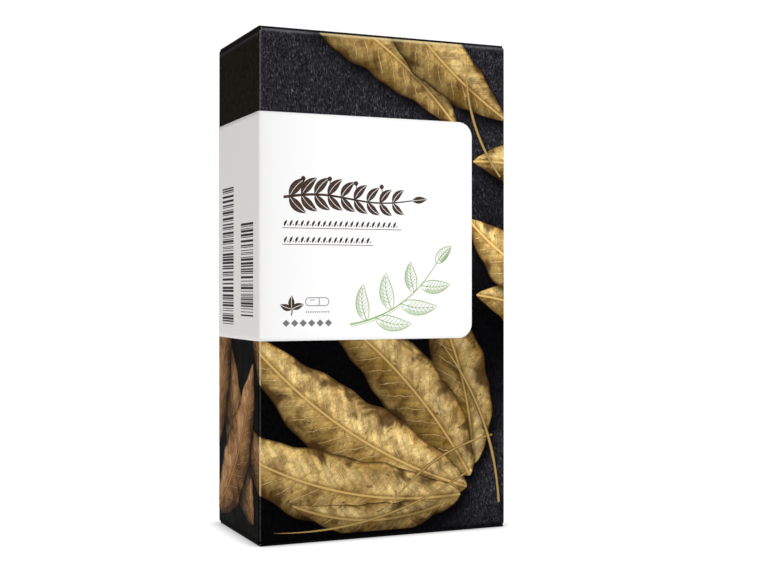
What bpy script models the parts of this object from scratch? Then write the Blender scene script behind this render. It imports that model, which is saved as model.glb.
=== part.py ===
"""Reverse-tuck folding carton for sixty capsules, with its four blister strips and leaflet.

Metres, +Z up. The origin is the middle of the carton's underside. The front panel faces -Y,
the lid hinges on the back panel and the bottom panel hinges on the front panel.
"""

import math

import bmesh
import bpy
from mathutils import Matrix, Vector

# Outside of the closed carton
WIDTH = 0.072
DEPTH = 0.038
HEIGHT = 0.135

# Folding boxboard and the gaps that its folded layers keep
BOARD = 0.00045
GAP = 0.0003
CREASE = 0.00022  # from the corner line of a crease to the panel's outer face
FOLD_RADIUS = 0.00075  # outside radius of the four upright folds
FOLD_STEPS = 4
CORNER_RELIEF = 0.0013  # how far the upright folds stop short of each end

# Glue flap, inside the right panel at the back
GLUE_WIDTH = 0.013
GLUE_MARGIN = 0.009
GLUE_TAPER = 0.005

# Lid and bottom panel
LID_SIDE_CLEARANCE = 0.00035
LID_REACH = DEPTH - BOARD - GAP  # from its crease to the crease of its tongue

# Tuck tongue: bowed, so that it clears the panel in front of it while the lid swings out.
# The tongue's crease opens by TONGUE_SHARE of the lid's angle.
TONGUE_SHARE = 0.25
TONGUE_LENGTH = 0.012
TONGUE_RADIUS = LID_REACH / (1 + 2 * TONGUE_SHARE)
TONGUE_SIDE_CLEARANCE = 0.0008
TONGUE_CORNER = 0.007
TONGUE_ROWS = 12

# Dust flaps. The back edge slants so that a flap clears the lid while both swing out.
DUST_LEVEL = BOARD + GAP  # how far a dust flap's outer face lies below the lid's
DUST_LENGTH = 0.027
DUST_BACK_START = 0.0013
DUST_BACK_SLOPE = 0.56
DUST_FRONT_START = 0.0018
DUST_FRONT_SHOULDER = 0.004
DUST_FRONT_SLOPE = 0.16
DUST_CORNER = 0.003

# Capsules of size 1, and the strips that hold them
CAPSULE_LENGTH = 0.0194
CAPSULE_DIAMETER = 0.00691
STRIPS = 4
ROWS = 5
COLUMNS = 3
STRIP_WIDTH = 0.066
STRIP_LENGTH = 0.118
STRIP_CORNER = 0.004
ROW_PITCH = 0.0226
COLUMN_PITCH = 0.0205
FILM = 0.00025
FOIL = 0.0001
FOIL_GAP = 0.0001
POCKET_CLEARANCE = 0.0007
POCKET_HEIGHT = CAPSULE_DIAMETER + 0.00004
POCKET_STEPS = 6

# Folded leaflet
LEAFLET_WIDTH = 0.060
LEAFLET_HEIGHT = 0.110
LEAFLET_THICKNESS = 0.0018
LEAFLET_STEPS = 6

# Where the contents stand: on the bottom dust flaps, the leaflet in front
CONTENTS_FLOOR = DUST_LEVEL + BOARD + GAP
LEAFLET_FRONT = -DEPTH / 2 + BOARD + GAP
STRIP_FRONT = LEAFLET_FRONT + LEAFLET_THICKNESS + GAP
STRIP_DEPTH = POCKET_HEIGHT + FILM + FOIL_GAP + FOIL
STRIP_PITCH = STRIP_DEPTH + GAP


def clear_scene():
    for obj in list(bpy.data.objects):
        bpy.data.objects.remove(obj, do_unlink=True)


def make_material(name, colour, roughness, metallic=0.0):
    material = bpy.data.materials.new(name)
    material.use_nodes = True
    shader = material.node_tree.nodes["Principled BSDF"]
    shader.inputs["Base Color"].default_value = (*colour, 1.0)
    shader.inputs["Roughness"].default_value = roughness
    shader.inputs["Metallic"].default_value = metallic
    return material


def finish_mesh(name, mesh, material):
    """Points every face outwards, shades the round ones smooth and returns the datablock."""
    data = bpy.data.meshes.new(name)
    bmesh.ops.recalc_face_normals(mesh, faces=mesh.faces[:])
    mesh.to_mesh(data)
    mesh.free()
    data.shade_smooth()
    data.set_sharp_from_angle(angle=math.radians(30))
    data.materials.append(material)
    return data


def add_object(name, data, location=(0, 0, 0), parent=None):
    obj = bpy.data.objects.new(name, data)
    bpy.context.scene.collection.objects.link(obj)
    obj.location = location
    obj.parent = parent
    return obj


def plate(outer, inner):
    """A closed sheet between two outlines with the same number of points."""
    mesh = bmesh.new()
    outer_loop = [mesh.verts.new(point) for point in outer]
    inner_loop = [mesh.verts.new(point) for point in inner]
    mesh.faces.new(outer_loop)
    mesh.faces.new(inner_loop[::-1])
    for i in range(len(outer_loop)):
        j = (i + 1) % len(outer_loop)
        mesh.faces.new((outer_loop[i], inner_loop[i], inner_loop[j], outer_loop[j]))
    return mesh


def arc(centre, radius, start, end, steps):
    """Points of an arc in the plane, from angle start to angle end, in degrees."""
    angles = [math.radians(start + (end - start) * i / steps) for i in range(steps + 1)]
    return [
        (centre[0] + radius * math.cos(a), centre[1] + radius * math.sin(a))
        for a in angles
    ]


def rounded_rectangle(half_x, half_y, radius, steps):
    """Four arcs, anticlockwise from the corner at +X +Y."""
    x, y = half_x - radius, half_y - radius
    points = []
    for quarter, centre in enumerate(((x, y), (-x, y), (-x, -y), (x, -y))):
        points += arc(centre, radius, 90 * quarter, 90 * quarter + 90, steps)
    return points


def sleeve_levels():
    """Lower and upper levels of each upright panel, as (outer face, inner face) pairs.

    An edge that carries a crease is mitred, and a cut edge is square. The corners stand lower.
    """
    crease = {"lid": CREASE, "dust": DUST_LEVEL + CREASE}
    mitred = {name: (depth, depth + BOARD) for name, depth in crease.items()}
    cut = (DUST_LEVEL, DUST_LEVEL)
    relief = (CORNER_RELIEF, CORNER_RELIEF)
    ends = {
        "front": (mitred["lid"], cut),
        "back": (cut, mitred["lid"]),
        "side": (mitred["dust"], mitred["dust"]),
        "corner": (relief, relief),
    }
    return {
        panel: (lower, tuple(HEIGHT - depth for depth in upper))
        for panel, (lower, upper) in ends.items()
    }


def sleeve_mesh():
    """The four walls: a rounded rectangular ring whose ends follow each panel's levels."""
    levels = sleeve_levels()
    outer = rounded_rectangle(WIDTH / 2, DEPTH / 2, FOLD_RADIUS, FOLD_STEPS)
    inner = rounded_rectangle(
        WIDTH / 2 - BOARD, DEPTH / 2 - BOARD, FOLD_RADIUS - BOARD, FOLD_STEPS
    )
    # Each arc runs from one panel to the next: right, back, left, front
    order = ["side", "back", "side", "front"]
    panels = []
    for quarter in range(4):
        middle = ["corner"] * (FOLD_STEPS - 1)
        panels += [order[quarter], *middle, order[(quarter + 1) % 4]]
    mesh = bmesh.new()
    rings = []
    for points, face in ((outer, 0), (inner, 1)):
        for end in (0, 1):
            rings.append(
                [
                    mesh.verts.new((x, y, levels[panel][end][face]))
                    for (x, y), panel in zip(points, panels)
                ]
            )
    outer_low, outer_high, inner_low, inner_high = rings
    for i in range(len(outer)):
        j = (i + 1) % len(outer)
        mesh.faces.new((outer_low[i], outer_low[j], outer_high[j], outer_high[i]))
        mesh.faces.new((inner_low[j], inner_low[i], inner_high[i], inner_high[j]))
        mesh.faces.new((outer_high[i], outer_high[j], inner_high[j], inner_high[i]))
        mesh.faces.new((outer_low[j], outer_low[i], inner_low[i], inner_low[j]))
    return mesh


def glue_flap_mesh():
    """The lap that closes the sleeve: a strip with tapered ends, bonded inside the right panel."""
    face = WIDTH / 2 - BOARD / 2  # sunk half a board into the panel that it laps
    inside = WIDTH / 2 - BOARD * 2
    back = DEPTH / 2 - BOARD / 2  # and into the panel that it folds from
    low, high = GLUE_MARGIN, HEIGHT - GLUE_MARGIN
    outline = [
        (back, low),
        (back - GLUE_WIDTH, low + GLUE_TAPER),
        (back - GLUE_WIDTH, high - GLUE_TAPER),
        (back, high),
    ]
    return plate(
        [(face, y, z) for y, z in outline], [(inside, y, z) for y, z in outline]
    )


def build_sleeve(board):
    sleeve = add_object("sleeve", finish_mesh("sleeve", sleeve_mesh(), board))
    flap = add_object("glue_flap", finish_mesh("glue_flap", glue_flap_mesh(), board))
    flap.hide_render = True
    flap.display_type = "WIRE"
    lap = sleeve.modifiers.new("lap", "BOOLEAN")
    lap.operation = "UNION"
    lap.object = flap


def lid_mesh():
    """Lid in its own frame: the crease runs along X, the panel lies towards -Y, its outside is up."""
    half = WIDTH / 2 - LID_SIDE_CLEARANCE
    near, far = -CREASE, -LID_REACH + CREASE
    outer = [(-half, near, 0), (-half, far, 0), (half, far, 0), (half, near, 0)]
    near, far = near - BOARD, far + BOARD
    inner = [(-half, near), (-half, far), (half, far), (half, near)]
    return plate(outer, [(x, y, -BOARD) for x, y in inner])


def tongue_half_width(length):
    """Half the tongue's width at this distance from its crease, with round lower corners."""
    full = WIDTH / 2 - BOARD - TONGUE_SIDE_CLEARANCE
    past = length - (TONGUE_LENGTH - TONGUE_CORNER)
    if past <= 0:
        return full
    return full - TONGUE_CORNER + math.sqrt(max(TONGUE_CORNER**2 - past**2, 0.0))


def tongue_mesh():
    """Tongue in its own frame: it hangs from a crease along X and bows towards +Y on an arc."""
    mesh = bmesh.new()
    rows = []
    for i in range(TONGUE_ROWS + 1):
        share = math.sin(math.pi / 2 * i / TONGUE_ROWS)  # closer rows round the corners
        for depth, start in ((0.0, CREASE), (BOARD, CREASE + BOARD)):
            length = start + (TONGUE_LENGTH - start) * share
            angle = length / TONGUE_RADIUS
            y = TONGUE_RADIUS - (TONGUE_RADIUS - depth) * math.cos(angle)
            z = -(TONGUE_RADIUS - depth) * math.sin(angle)
            half = tongue_half_width(length)
            rows.append([mesh.verts.new((-half, y, z)), mesh.verts.new((half, y, z))])
    outer, inner = rows[0::2], rows[1::2]
    for i in range(TONGUE_ROWS):
        for face in (outer, inner):
            mesh.faces.new((face[i][0], face[i][1], face[i + 1][1], face[i + 1][0]))
        for side in (0, 1):
            mesh.faces.new(
                (outer[i][side], inner[i][side], inner[i + 1][side], outer[i + 1][side])
            )
    for end in (0, -1):
        mesh.faces.new((outer[end][0], outer[end][1], inner[end][1], inner[end][0]))
    return mesh


def dust_outline(start):
    """A dust flap seen from above, as (distance from its crease, y), from start on the crease."""
    front, back = -DEPTH / 2 + DUST_FRONT_START, DEPTH / 2 - DUST_BACK_START
    run = DUST_LENGTH - DUST_FRONT_SHOULDER
    tip_front = front + DUST_FRONT_SLOPE * run
    tip_back = back - DUST_BACK_SLOPE * DUST_LENGTH
    r = DUST_CORNER
    points = [(start, back), (start, front), (DUST_FRONT_SHOULDER, front)]
    points += arc((DUST_LENGTH - r, tip_front + r), r, -80, 0, 4)
    points += arc((DUST_LENGTH - r, tip_back - r), r, 0, 60, 4)
    return points


def dust_mesh(side):
    """A dust flap in its own frame: crease along Y, outside up, reaching inwards from side."""
    rings = []
    for start, depth in ((CREASE, 0.0), (CREASE + BOARD, -BOARD)):
        rings.append([(-side * x, y, depth) for x, y in dust_outline(start)])
    return plate(*rings)


def build_end(name, panel_name, matrix, meshes):
    """One tuck closure. Its frame has the middle of the carton's end at the origin, +Z outwards,
    and the crease of the panel at +Y."""
    end = add_object(name, None)
    end.matrix_world = matrix
    panel = add_object(panel_name, meshes["lid"], (0, DEPTH / 2, 0), end)
    add_object(f"{name}_tongue", meshes["tongue"], (0, -LID_REACH, 0), panel)
    for side, word in ((-1, "left"), (1, "right")):
        crease = (side * WIDTH / 2, 0, -DUST_LEVEL)
        add_object(f"{name}_dust_{word}", meshes[word], crease, end)


def build_ends(board, plain_board):
    meshes = {
        "lid": finish_mesh("lid", lid_mesh(), board),
        "tongue": finish_mesh("tongue", tongue_mesh(), board),
        "left": finish_mesh("dust_left", dust_mesh(-1), plain_board),
        "right": finish_mesh("dust_right", dust_mesh(1), plain_board),
    }
    upright = Matrix.Translation(Vector((0, 0, HEIGHT)))
    turned = Matrix.Rotation(math.pi, 4, "X")
    build_end("top", "top_lid", upright, meshes)
    build_end("bottom", "bottom_panel", turned, meshes)


def pocket(mesh, x, z, sink):
    """A formed pocket round one capsule: stadium rings that close in towards -Y."""
    base = CAPSULE_DIAMETER / 2 + POCKET_CLEARANCE
    straight = (CAPSULE_LENGTH - CAPSULE_DIAMETER) / 2
    # Height above the flange and inset of each ring
    profile = (
        (-sink, 0.0),
        (0.5 * POCKET_HEIGHT, 0.0003),
        (0.82 * POCKET_HEIGHT, 0.0010),
        (POCKET_HEIGHT, 0.0024),
    )
    loops = []
    for height, inset in profile:
        radius = base - inset
        ends = arc((0, straight), radius, 0, 180, POCKET_STEPS)
        ends += arc((0, -straight), radius, 180, 360, POCKET_STEPS)
        loops.append([mesh.verts.new((x + u, -height, z + v)) for u, v in ends])
    count = len(loops[0])
    for lower, upper in zip(loops, loops[1:]):
        for i in range(count):
            j = (i + 1) % count
            mesh.faces.new((lower[i], lower[j], upper[j], upper[i]))
    mesh.faces.new(loops[0][::-1])
    mesh.faces.new(loops[-1])


def strip_plate(back, front):
    """A flat sheet with the strip's rounded outline, between two depths."""
    outline = rounded_rectangle(STRIP_WIDTH / 2, STRIP_LENGTH / 2, STRIP_CORNER, 4)
    return plate([(x, front, z) for x, z in outline], [(x, back, z) for x, z in outline])


def tray_data(film):
    """The formed film with its capsules sealed in, as one solid. Its flange's face is at y 0."""
    flange = add_object("flange", finish_mesh("flange", strip_plate(FILM, 0.0), film))
    pockets = bmesh.new()
    for row in range(ROWS):
        for column in range(COLUMNS):
            x = (column - (COLUMNS - 1) / 2) * COLUMN_PITCH
            z = (row - (ROWS - 1) / 2) * ROW_PITCH
            pocket(pockets, x, z, FILM / 2)
    domes = add_object("pockets", finish_mesh("pockets", pockets, film))
    joined = flange.modifiers.new("pockets", "BOOLEAN")
    joined.operation = "UNION"
    joined.object = domes
    bpy.context.view_layer.update()
    graph = bpy.context.evaluated_depsgraph_get()
    data = bpy.data.meshes.new_from_object(flange.evaluated_get(graph))
    data.name = "tray"
    bpy.data.objects.remove(flange)
    bpy.data.objects.remove(domes)
    return data


def build_strips(film, foil):
    tray = tray_data(film)
    foil_back = FILM + FOIL_GAP + FOIL
    sheet = finish_mesh("foil", strip_plate(foil_back, FILM + FOIL_GAP), foil)
    for number in range(STRIPS):
        y = STRIP_FRONT + number * STRIP_PITCH + POCKET_HEIGHT
        place = (0, y, CONTENTS_FLOOR + STRIP_LENGTH / 2)
        strip = add_object(f"blister_{number + 1}", None, place)
        add_object(f"blister_{number + 1}_tray", tray, parent=strip)
        add_object(f"blister_{number + 1}_foil", sheet, parent=strip)


def build_leaflet(paper):
    """The folded leaflet: a thin block whose left edge is its round fold."""
    half, radius = LEAFLET_WIDTH / 2, LEAFLET_THICKNESS / 2
    outline = [(half, -radius)]
    outline += [(half, radius)]
    outline += arc((-half + radius, 0), radius, 90, 270, LEAFLET_STEPS)
    lower = [(x, y, 0) for x, y in outline]
    upper = [(x, y, LEAFLET_HEIGHT) for x, y in outline]
    data = finish_mesh("leaflet", plate(lower, upper), paper)
    add_object("leaflet", data, (0, LEAFLET_FRONT + radius, CONTENTS_FLOOR))


def main():
    clear_scene()
    board = make_material("printed_board", (0.035, 0.035, 0.045), 0.42)
    plain_board = make_material("plain_board", (0.82, 0.80, 0.76), 0.6)
    film = make_material("film", (0.86, 0.80, 0.62), 0.2)
    foil = make_material("foil", (0.75, 0.76, 0.78), 0.3, 0.9)
    paper = make_material("paper", (0.88, 0.87, 0.84), 0.75)
    build_sleeve(board)
    build_ends(board, plain_board)
    build_strips(film, foil)
    build_leaflet(paper)


main()
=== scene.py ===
"""Looks of a folding carton of capsules: board, creases, print, blister strips and leaflet.

Metres, +Z up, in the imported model's own frame, with the front panel facing -Y. Print is laid
out in sheet coordinates: s runs round the outside of the sleeve from its front-left fold,
positive over the front panel and negative over the left one, and z is the height.
"""

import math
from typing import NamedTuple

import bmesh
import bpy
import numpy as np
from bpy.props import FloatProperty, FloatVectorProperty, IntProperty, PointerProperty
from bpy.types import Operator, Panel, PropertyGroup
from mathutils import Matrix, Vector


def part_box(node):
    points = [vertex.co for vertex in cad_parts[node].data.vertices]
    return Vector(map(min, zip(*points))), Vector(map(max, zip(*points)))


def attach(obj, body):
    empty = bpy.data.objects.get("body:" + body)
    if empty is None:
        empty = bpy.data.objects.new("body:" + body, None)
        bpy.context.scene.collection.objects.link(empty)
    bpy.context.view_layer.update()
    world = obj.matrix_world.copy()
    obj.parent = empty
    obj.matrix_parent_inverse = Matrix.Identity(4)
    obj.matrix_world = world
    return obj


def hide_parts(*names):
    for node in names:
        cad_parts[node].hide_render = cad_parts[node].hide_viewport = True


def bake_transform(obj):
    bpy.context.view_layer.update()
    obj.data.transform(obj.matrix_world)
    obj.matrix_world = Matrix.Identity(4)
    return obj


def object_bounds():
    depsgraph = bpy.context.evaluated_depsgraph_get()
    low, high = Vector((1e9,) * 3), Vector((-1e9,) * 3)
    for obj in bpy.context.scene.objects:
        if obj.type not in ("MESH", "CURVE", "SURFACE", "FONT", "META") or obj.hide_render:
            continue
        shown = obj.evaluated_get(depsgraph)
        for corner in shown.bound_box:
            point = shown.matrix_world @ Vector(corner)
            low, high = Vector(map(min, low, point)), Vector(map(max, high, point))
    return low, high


bl_info = {
    "name": "Folding carton of capsules",
    "version": (1, 0, 0),
    "blender": (4, 5, 0),
    "location": "3D View > Sidebar > Carton",
    "description": "Dresses a folding carton with its print, blister strips and leaflet",
    "category": "Object",
}

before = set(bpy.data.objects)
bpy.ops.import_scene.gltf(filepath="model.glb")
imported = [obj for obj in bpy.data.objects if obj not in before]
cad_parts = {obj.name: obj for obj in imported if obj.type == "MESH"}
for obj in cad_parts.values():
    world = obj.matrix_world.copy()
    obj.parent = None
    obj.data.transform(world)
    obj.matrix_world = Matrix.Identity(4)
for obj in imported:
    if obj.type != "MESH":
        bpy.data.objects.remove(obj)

MM = 0.001

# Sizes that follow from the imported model
CAD_BOX = [list(corner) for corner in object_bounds()]
WIDTH, DEPTH, HEIGHT = (high - low for low, high in zip(*CAD_BOX))
PERIMETER = 2 * (WIDTH + DEPTH)
STRIP_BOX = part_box("blister_1_foil")
LEAFLET_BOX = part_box("leaflet")

# Folding boxboard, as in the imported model
BOARD = 0.45 * MM
GAP = 0.3 * MM
FOLD = 0.75 * MM  # outside radius of the four upright folds
DUST_DROP = BOARD + 0.04 * MM  # from the lid's outer face down to a dust flap's, where it rests
CREASE_RADIUS = 0.4 * MM
# The pale line along each upright fold is partly scuffing and partly a painted highlight.
WEAR_HIGHLIGHT_ASIDE = 0.12 * MM  # from an upright fold's middle to its worn line

# How far each wall of the sleeve stops short of the carton's end
FRONT_DROP = BOARD + GAP
CORNER_DROP = 1.3 * MM
BACK_DROP = 1.3 * MM
SIDE_DROP = 1.7 * MM

# Print is a closed film of ink, each layer lifted a little above the one below
INK = 0.012 * MM
LEAF_LIFT = 0.02 * MM
LEAF_STEP = 0.008 * MM
LABEL_LIFT = 0.13 * MM
MARK_LIFT = 0.15 * MM

# Label: left end on the back panel, right end on the front panel
LABEL_START = -DEPTH - 54 * MM
LABEL_END = 61.5 * MM
LABEL_LOW = 53.1 * MM
LABEL_HIGH = 112.7 * MM
LABEL_CORNER = 4 * MM


# Sheet coordinates

# The sleeve's walls in the order of s: front, right, back and left
WALL_LENGTHS = np.array([WIDTH, DEPTH, WIDTH, DEPTH])
WALL_STARTS = np.array([0, WIDTH, WIDTH + DEPTH, 2 * WIDTH + DEPTH])
WALL_CORNERS = np.array([(-1, -1), (1, -1), (1, 1), (-1, 1)]) * (WIDTH / 2, DEPTH / 2)
WALL_ALONG = np.array([(1, 0), (0, 1), (-1, 0), (0, -1)])
WALL_NORMALS = np.array([(0, -1), (1, 0), (0, 1), (-1, 0)])


def wall_at(s):
    """Which wall each sheet position is on, and how far along it."""
    wall = np.clip(np.searchsorted(WALL_STARTS, s, side="right") - 1, 0, 3)
    return wall, s - WALL_STARTS[wall]


def wrap(s, z, lift=0.0):
    """Points at sheet coordinates (s, z), lifted off the board.

    On a wall the point is corner + along * t. Within a fold radius of a corner it turns on an
    arc of 45 degrees to the corner's bisector. Each wall swells by
    bow * sin(pi * t / length) * sin(pi * z / height) ** 0.7.
    """
    s = np.mod(np.asarray(s, float), PERIMETER)
    z = np.asarray(z, float)
    wall, t = wall_at(s)
    lengths, along, normals = WALL_LENGTHS[wall], WALL_ALONG[wall], WALL_NORMALS[wall]
    straight = np.clip(t, FOLD, lengths - FOLD)
    turn = (t - straight) / FOLD * math.pi / 4
    outward = normals * np.cos(turn)[..., None] + along * np.sin(turn)[..., None]
    centre = WALL_CORNERS[wall] + along * straight[..., None] - normals * FOLD
    across = np.sin(np.pi * t / lengths)
    upright = np.sin(np.pi * np.clip(z / HEIGHT, 0, 1)) ** 0.7
    swell = bpy.context.scene.carton_form.bow * across * upright
    flat = centre + outward * (FOLD + lift + swell)[..., None]
    return np.concatenate([flat, z[..., None]], axis=-1)


def fold_lines():
    """Sheet positions where print is cut, so that it bends with the board round each fold."""
    corners = np.array([-DEPTH - WIDTH, -DEPTH, 0, WIDTH, WIDTH + DEPTH])
    steps = np.linspace(-1, 1, 9) * FOLD
    return (corners[:, None] + steps[None, :]).ravel()


def on_side(s):
    """How far the print takes the narrow walls' tone: 1 on the left one, half on the right."""
    s = np.mod(s, PERIMETER)
    right = (s > WIDTH) & (s < WIDTH + DEPTH)
    left = s > 2 * WIDTH + DEPTH
    return np.where(right, 0.5, left.astype(float))


def fold_wear_highlight(s):
    """A pale line just past each upright fold, partly scuffing and partly a painted highlight:
    exp(-(distance / line width) ** 2).
    """
    s = np.mod(s + FOLD, PERIMETER) - FOLD
    away = np.abs(s[..., None] - WEAR_HIGHLIGHT_ASIDE - WALL_STARTS).min(-1)
    return np.exp(-((away / bpy.context.scene.carton_form.wear_highlight_width) ** 2))


def edge_wear_highlight(z, upper):
    """A pale line one line's width below the sleeve's top edge, partly scuffed board and partly a
    painted highlight: 0.9 exp(-(depth below the edge / line - 1) ** 2), with a line of 1.3
    pale-line widths."""
    line = bpy.context.scene.carton_form.wear_highlight_width * 1.3
    return 0.9 * np.exp(-(((upper - z) / line - 1) ** 2))


# Meshes from grids

def index_quads(index):
    """Quads of a grid of point numbers. They face along (column step) x (row step)."""
    quads = [index[:-1, :-1], index[:-1, 1:], index[1:, 1:], index[1:, :-1]]
    return np.stack(quads, axis=-1).reshape(-1, 4)


def grid_quads(rows, columns, first=0):
    """Quads of a grid whose points are numbered row by row."""
    return index_quads(first + np.arange(rows * columns).reshape(rows, columns))


def grid_border(rows, columns):
    """Point numbers round a grid, in the direction of its quads."""
    index = np.arange(rows * columns).reshape(rows, columns)
    return np.concatenate(
        [index[0, :-1], index[:-1, -1], index[-1, :0:-1], index[:0:-1, 0]]
    )


# Which material each side of a board takes
PRINTED, PLAIN, CUT = range(3)


def facing(grid):
    """Normal at the middle of a grid of points."""
    i, j = (min(count // 2, count - 2) for count in grid.shape[:2])
    return np.cross(grid[i, j + 1] - grid[i, j], grid[i + 1, j] - grid[i, j])


def board_parts(outer, inner, quads, start, end):
    """Points, faces and sides of a board: the outer quads, the same ones turned over on the
    inner grid, and the cut edge, whose border runs from the start points to the end points."""
    count = outer[..., 0].size
    rim = np.stack([end, start, start + count, end + count], axis=-1)
    points = np.concatenate([outer.reshape(-1, 3), inner.reshape(-1, 3)])
    faces = np.concatenate([quads, quads[:, ::-1] + count, rim])
    sides = np.repeat([PRINTED, PLAIN, CUT], [len(quads), len(quads), len(rim)])
    return points, faces, sides


def plate_parts(outer, inner):
    """A closed plate from its outer and inner grids."""
    border = grid_border(*outer.shape[:2])
    return board_parts(outer, inner, grid_quads(*outer.shape[:2]), border, np.roll(border, -1))


def join_parts(parts):
    """Several (points, faces, sides) as one."""
    offsets = np.cumsum([0] + [len(points) for points, _, _ in parts[:-1]])
    points = np.concatenate([part[0] for part in parts])
    faces = np.concatenate([part[1] + offset for part, offset in zip(parts, offsets)])
    return points, faces, np.concatenate([part[2] for part in parts])


def set_values(mesh, values):
    """Writes named numbers, one for each point, as the mesh's attributes."""
    for name, numbers in values.items():
        attribute = mesh.attributes.get(name) or mesh.attributes.new(name, "FLOAT", "POINT")
        attribute.data.foreach_set("value", np.ravel(numbers).astype(np.float32))


def make_piece(name, points, faces, materials, sides=None, values=None, angle=30):
    """A mesh object at the origin. sides picks each face's material."""
    mesh = bpy.data.meshes.new(name)
    mesh.from_pydata(points.tolist(), [], faces.tolist())
    for material in materials:
        mesh.materials.append(material)
    if sides is not None:
        mesh.polygons.foreach_set("material_index", np.asarray(sides, np.int32))
    set_values(mesh, values or {})
    mesh.shade_smooth()
    mesh.set_sharp_from_angle(angle=math.radians(angle))
    mesh.update()
    piece = bpy.data.objects.new(name, mesh)
    bpy.context.scene.collection.objects.link(piece)
    return piece


def weld(piece, distance=0.001 * MM):
    """Merges points that fall on each other, and drops faces that this leaves without area."""
    work = bmesh.new()
    work.from_mesh(piece.data)
    bmesh.ops.remove_doubles(work, verts=work.verts[:], dist=distance)
    bmesh.ops.dissolve_degenerate(work, edges=work.edges[:], dist=distance / 2)
    work.to_mesh(piece.data)
    work.free()


def dress(piece, body, slot, *nodes):
    """Puts a finished piece on its body, and hides the nodes that it stands for. slot is not used.
    """
    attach(piece, body)
    if nodes:
        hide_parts(*nodes)
    return piece


# Materials

COATED_RELIEF = 0.006 * MM  # height of the board's fibres under print
VEIN_PITCH = 4.9 * MM  # from one side vein of a printed leaf to the next, along its midrib
KNURL_PITCH = 0.9 * MM  # from one line of the sealing plate's grid to the next


class Recipe:
    """One material's nodes, with a short call for each kind that it needs."""

    def __init__(self, name, roughness=0.5, specular=0.5, **settings):
        self.material = bpy.data.materials.new(name)
        self.material.use_nodes = True
        self.tree = self.material.node_tree
        self.shader = self.tree.nodes["Principled BSDF"]
        self.shader.inputs["Roughness"].default_value = roughness
        self.shader.inputs["Specular IOR Level"].default_value = specular
        for socket, value in settings.items():
            self.shader.inputs[socket.replace("_", " ")].default_value = value

    def add(self, kind, inputs, **settings):
        """A node, with links for the inputs that are sockets and values for the others."""
        node = self.tree.nodes.new(kind)
        for name, value in settings.items():
            setattr(node, name, value)
        for name, value in inputs.items():
            if isinstance(value, bpy.types.NodeSocket):
                self.tree.links.new(value, node.inputs[name])
            else:
                node.inputs[name].default_value = value
        return node

    def place(self, scale=(1, 1, 1), turn=(0, 0, 0), move=(0, 0, 0), vector=None):
        """The carton's own coordinates, or another vector, scaled, turned and moved."""
        vector = vector or self.add("ShaderNodeTexCoord", {}).outputs["Object"]
        inputs = {"Vector": vector, "Scale": scale, "Rotation": turn, "Location": move}
        return self.add("ShaderNodeMapping", inputs).outputs[0]

    def value(self, name):
        """A number that the piece's points hold."""
        return self.add("ShaderNodeAttribute", {}, attribute_name=name).outputs["Fac"]

    def noise(self, scale, detail=2.0, vector=None, distortion=0.0):
        """Noise between 0 and 1, with this many cells to a metre at its coarsest."""
        inputs = {"Scale": scale, "Detail": detail, "Distortion": distortion}
        inputs["Vector"] = vector or self.place()
        return self.add("ShaderNodeTexNoise", inputs).outputs["Fac"]

    def relief(self, scale, step, detail=3.0, depth=1.0):
        """Light on a rough surface from the upper left: 1 plus depth times what a noise gains
        over one step down and to the right."""
        further = self.noise(scale, detail, self.place(move=(step, -step, -step)))
        rise = self.math("SUBTRACT", further, self.noise(scale, detail))
        return self.math("MULTIPLY_ADD", rise, depth, 1.0)

    def cells(self, scale, feature="F1"):
        """Distance to the nearest of scattered points, or to the edge between two cells."""
        inputs = {"Scale": scale, "Vector": self.place()}
        node = self.add("ShaderNodeTexVoronoi", inputs, feature=feature)
        return node.outputs["Distance"]

    def math(self, operation, a, b=0.0, c=0.0):
        return self.add("ShaderNodeMath", {0: a, 1: b, 2: c}, operation=operation).outputs[0]

    def ramp(self, value, low, high, start=0.0, end=1.0):
        """A smooth step from start, where the value is low, to end, where it is high."""
        inputs = {"Value": value, "From Min": low, "From Max": high}
        inputs.update({"To Min": start, "To Max": end})
        node = self.add("ShaderNodeMapRange", inputs, interpolation_type="SMOOTHSTEP")
        return node.outputs["Result"]

    def mix(self, factor, a, b, mode="MIX"):
        """From a to b by the factor. Each is a colour's socket or its red, green and blue."""
        a, b = (
            value if isinstance(value, bpy.types.NodeSocket) else (*value, 1.0)
            for value in (a, b)
        )
        node = self.add("ShaderNodeMix", {0: factor, 6: a, 7: b}, data_type="RGBA")
        node.blend_type = mode
        return node.outputs[2]

    def dim(self, colour, factor):
        """The colour times a number."""
        grey = self.add("ShaderNodeCombineColor", {0: factor, 1: factor, 2: factor}).outputs[0]
        return self.mix(1.0, colour, grey, "MULTIPLY")

    def finish(self, colour=None, roughness=None, bump=None, depth=0.0, strength=1.0):
        """Links what varies over the surface, and returns the material."""
        for socket, value in (("Base Color", colour), ("Roughness", roughness)):
            if value is not None:
                self.tree.links.new(value, self.shader.inputs[socket])
        if bump is not None:
            inputs = {"Height": bump, "Distance": depth, "Strength": strength}
            node = self.add("ShaderNodeBump", inputs)
            self.tree.links.new(node.outputs[0], self.shader.inputs["Normal"])
        return self.material


def board_materials():
    """Printed outside, plain inside and cut edge of the folding boxboard."""
    return [slate_print(), plain_board(), cut_edge()]


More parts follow.
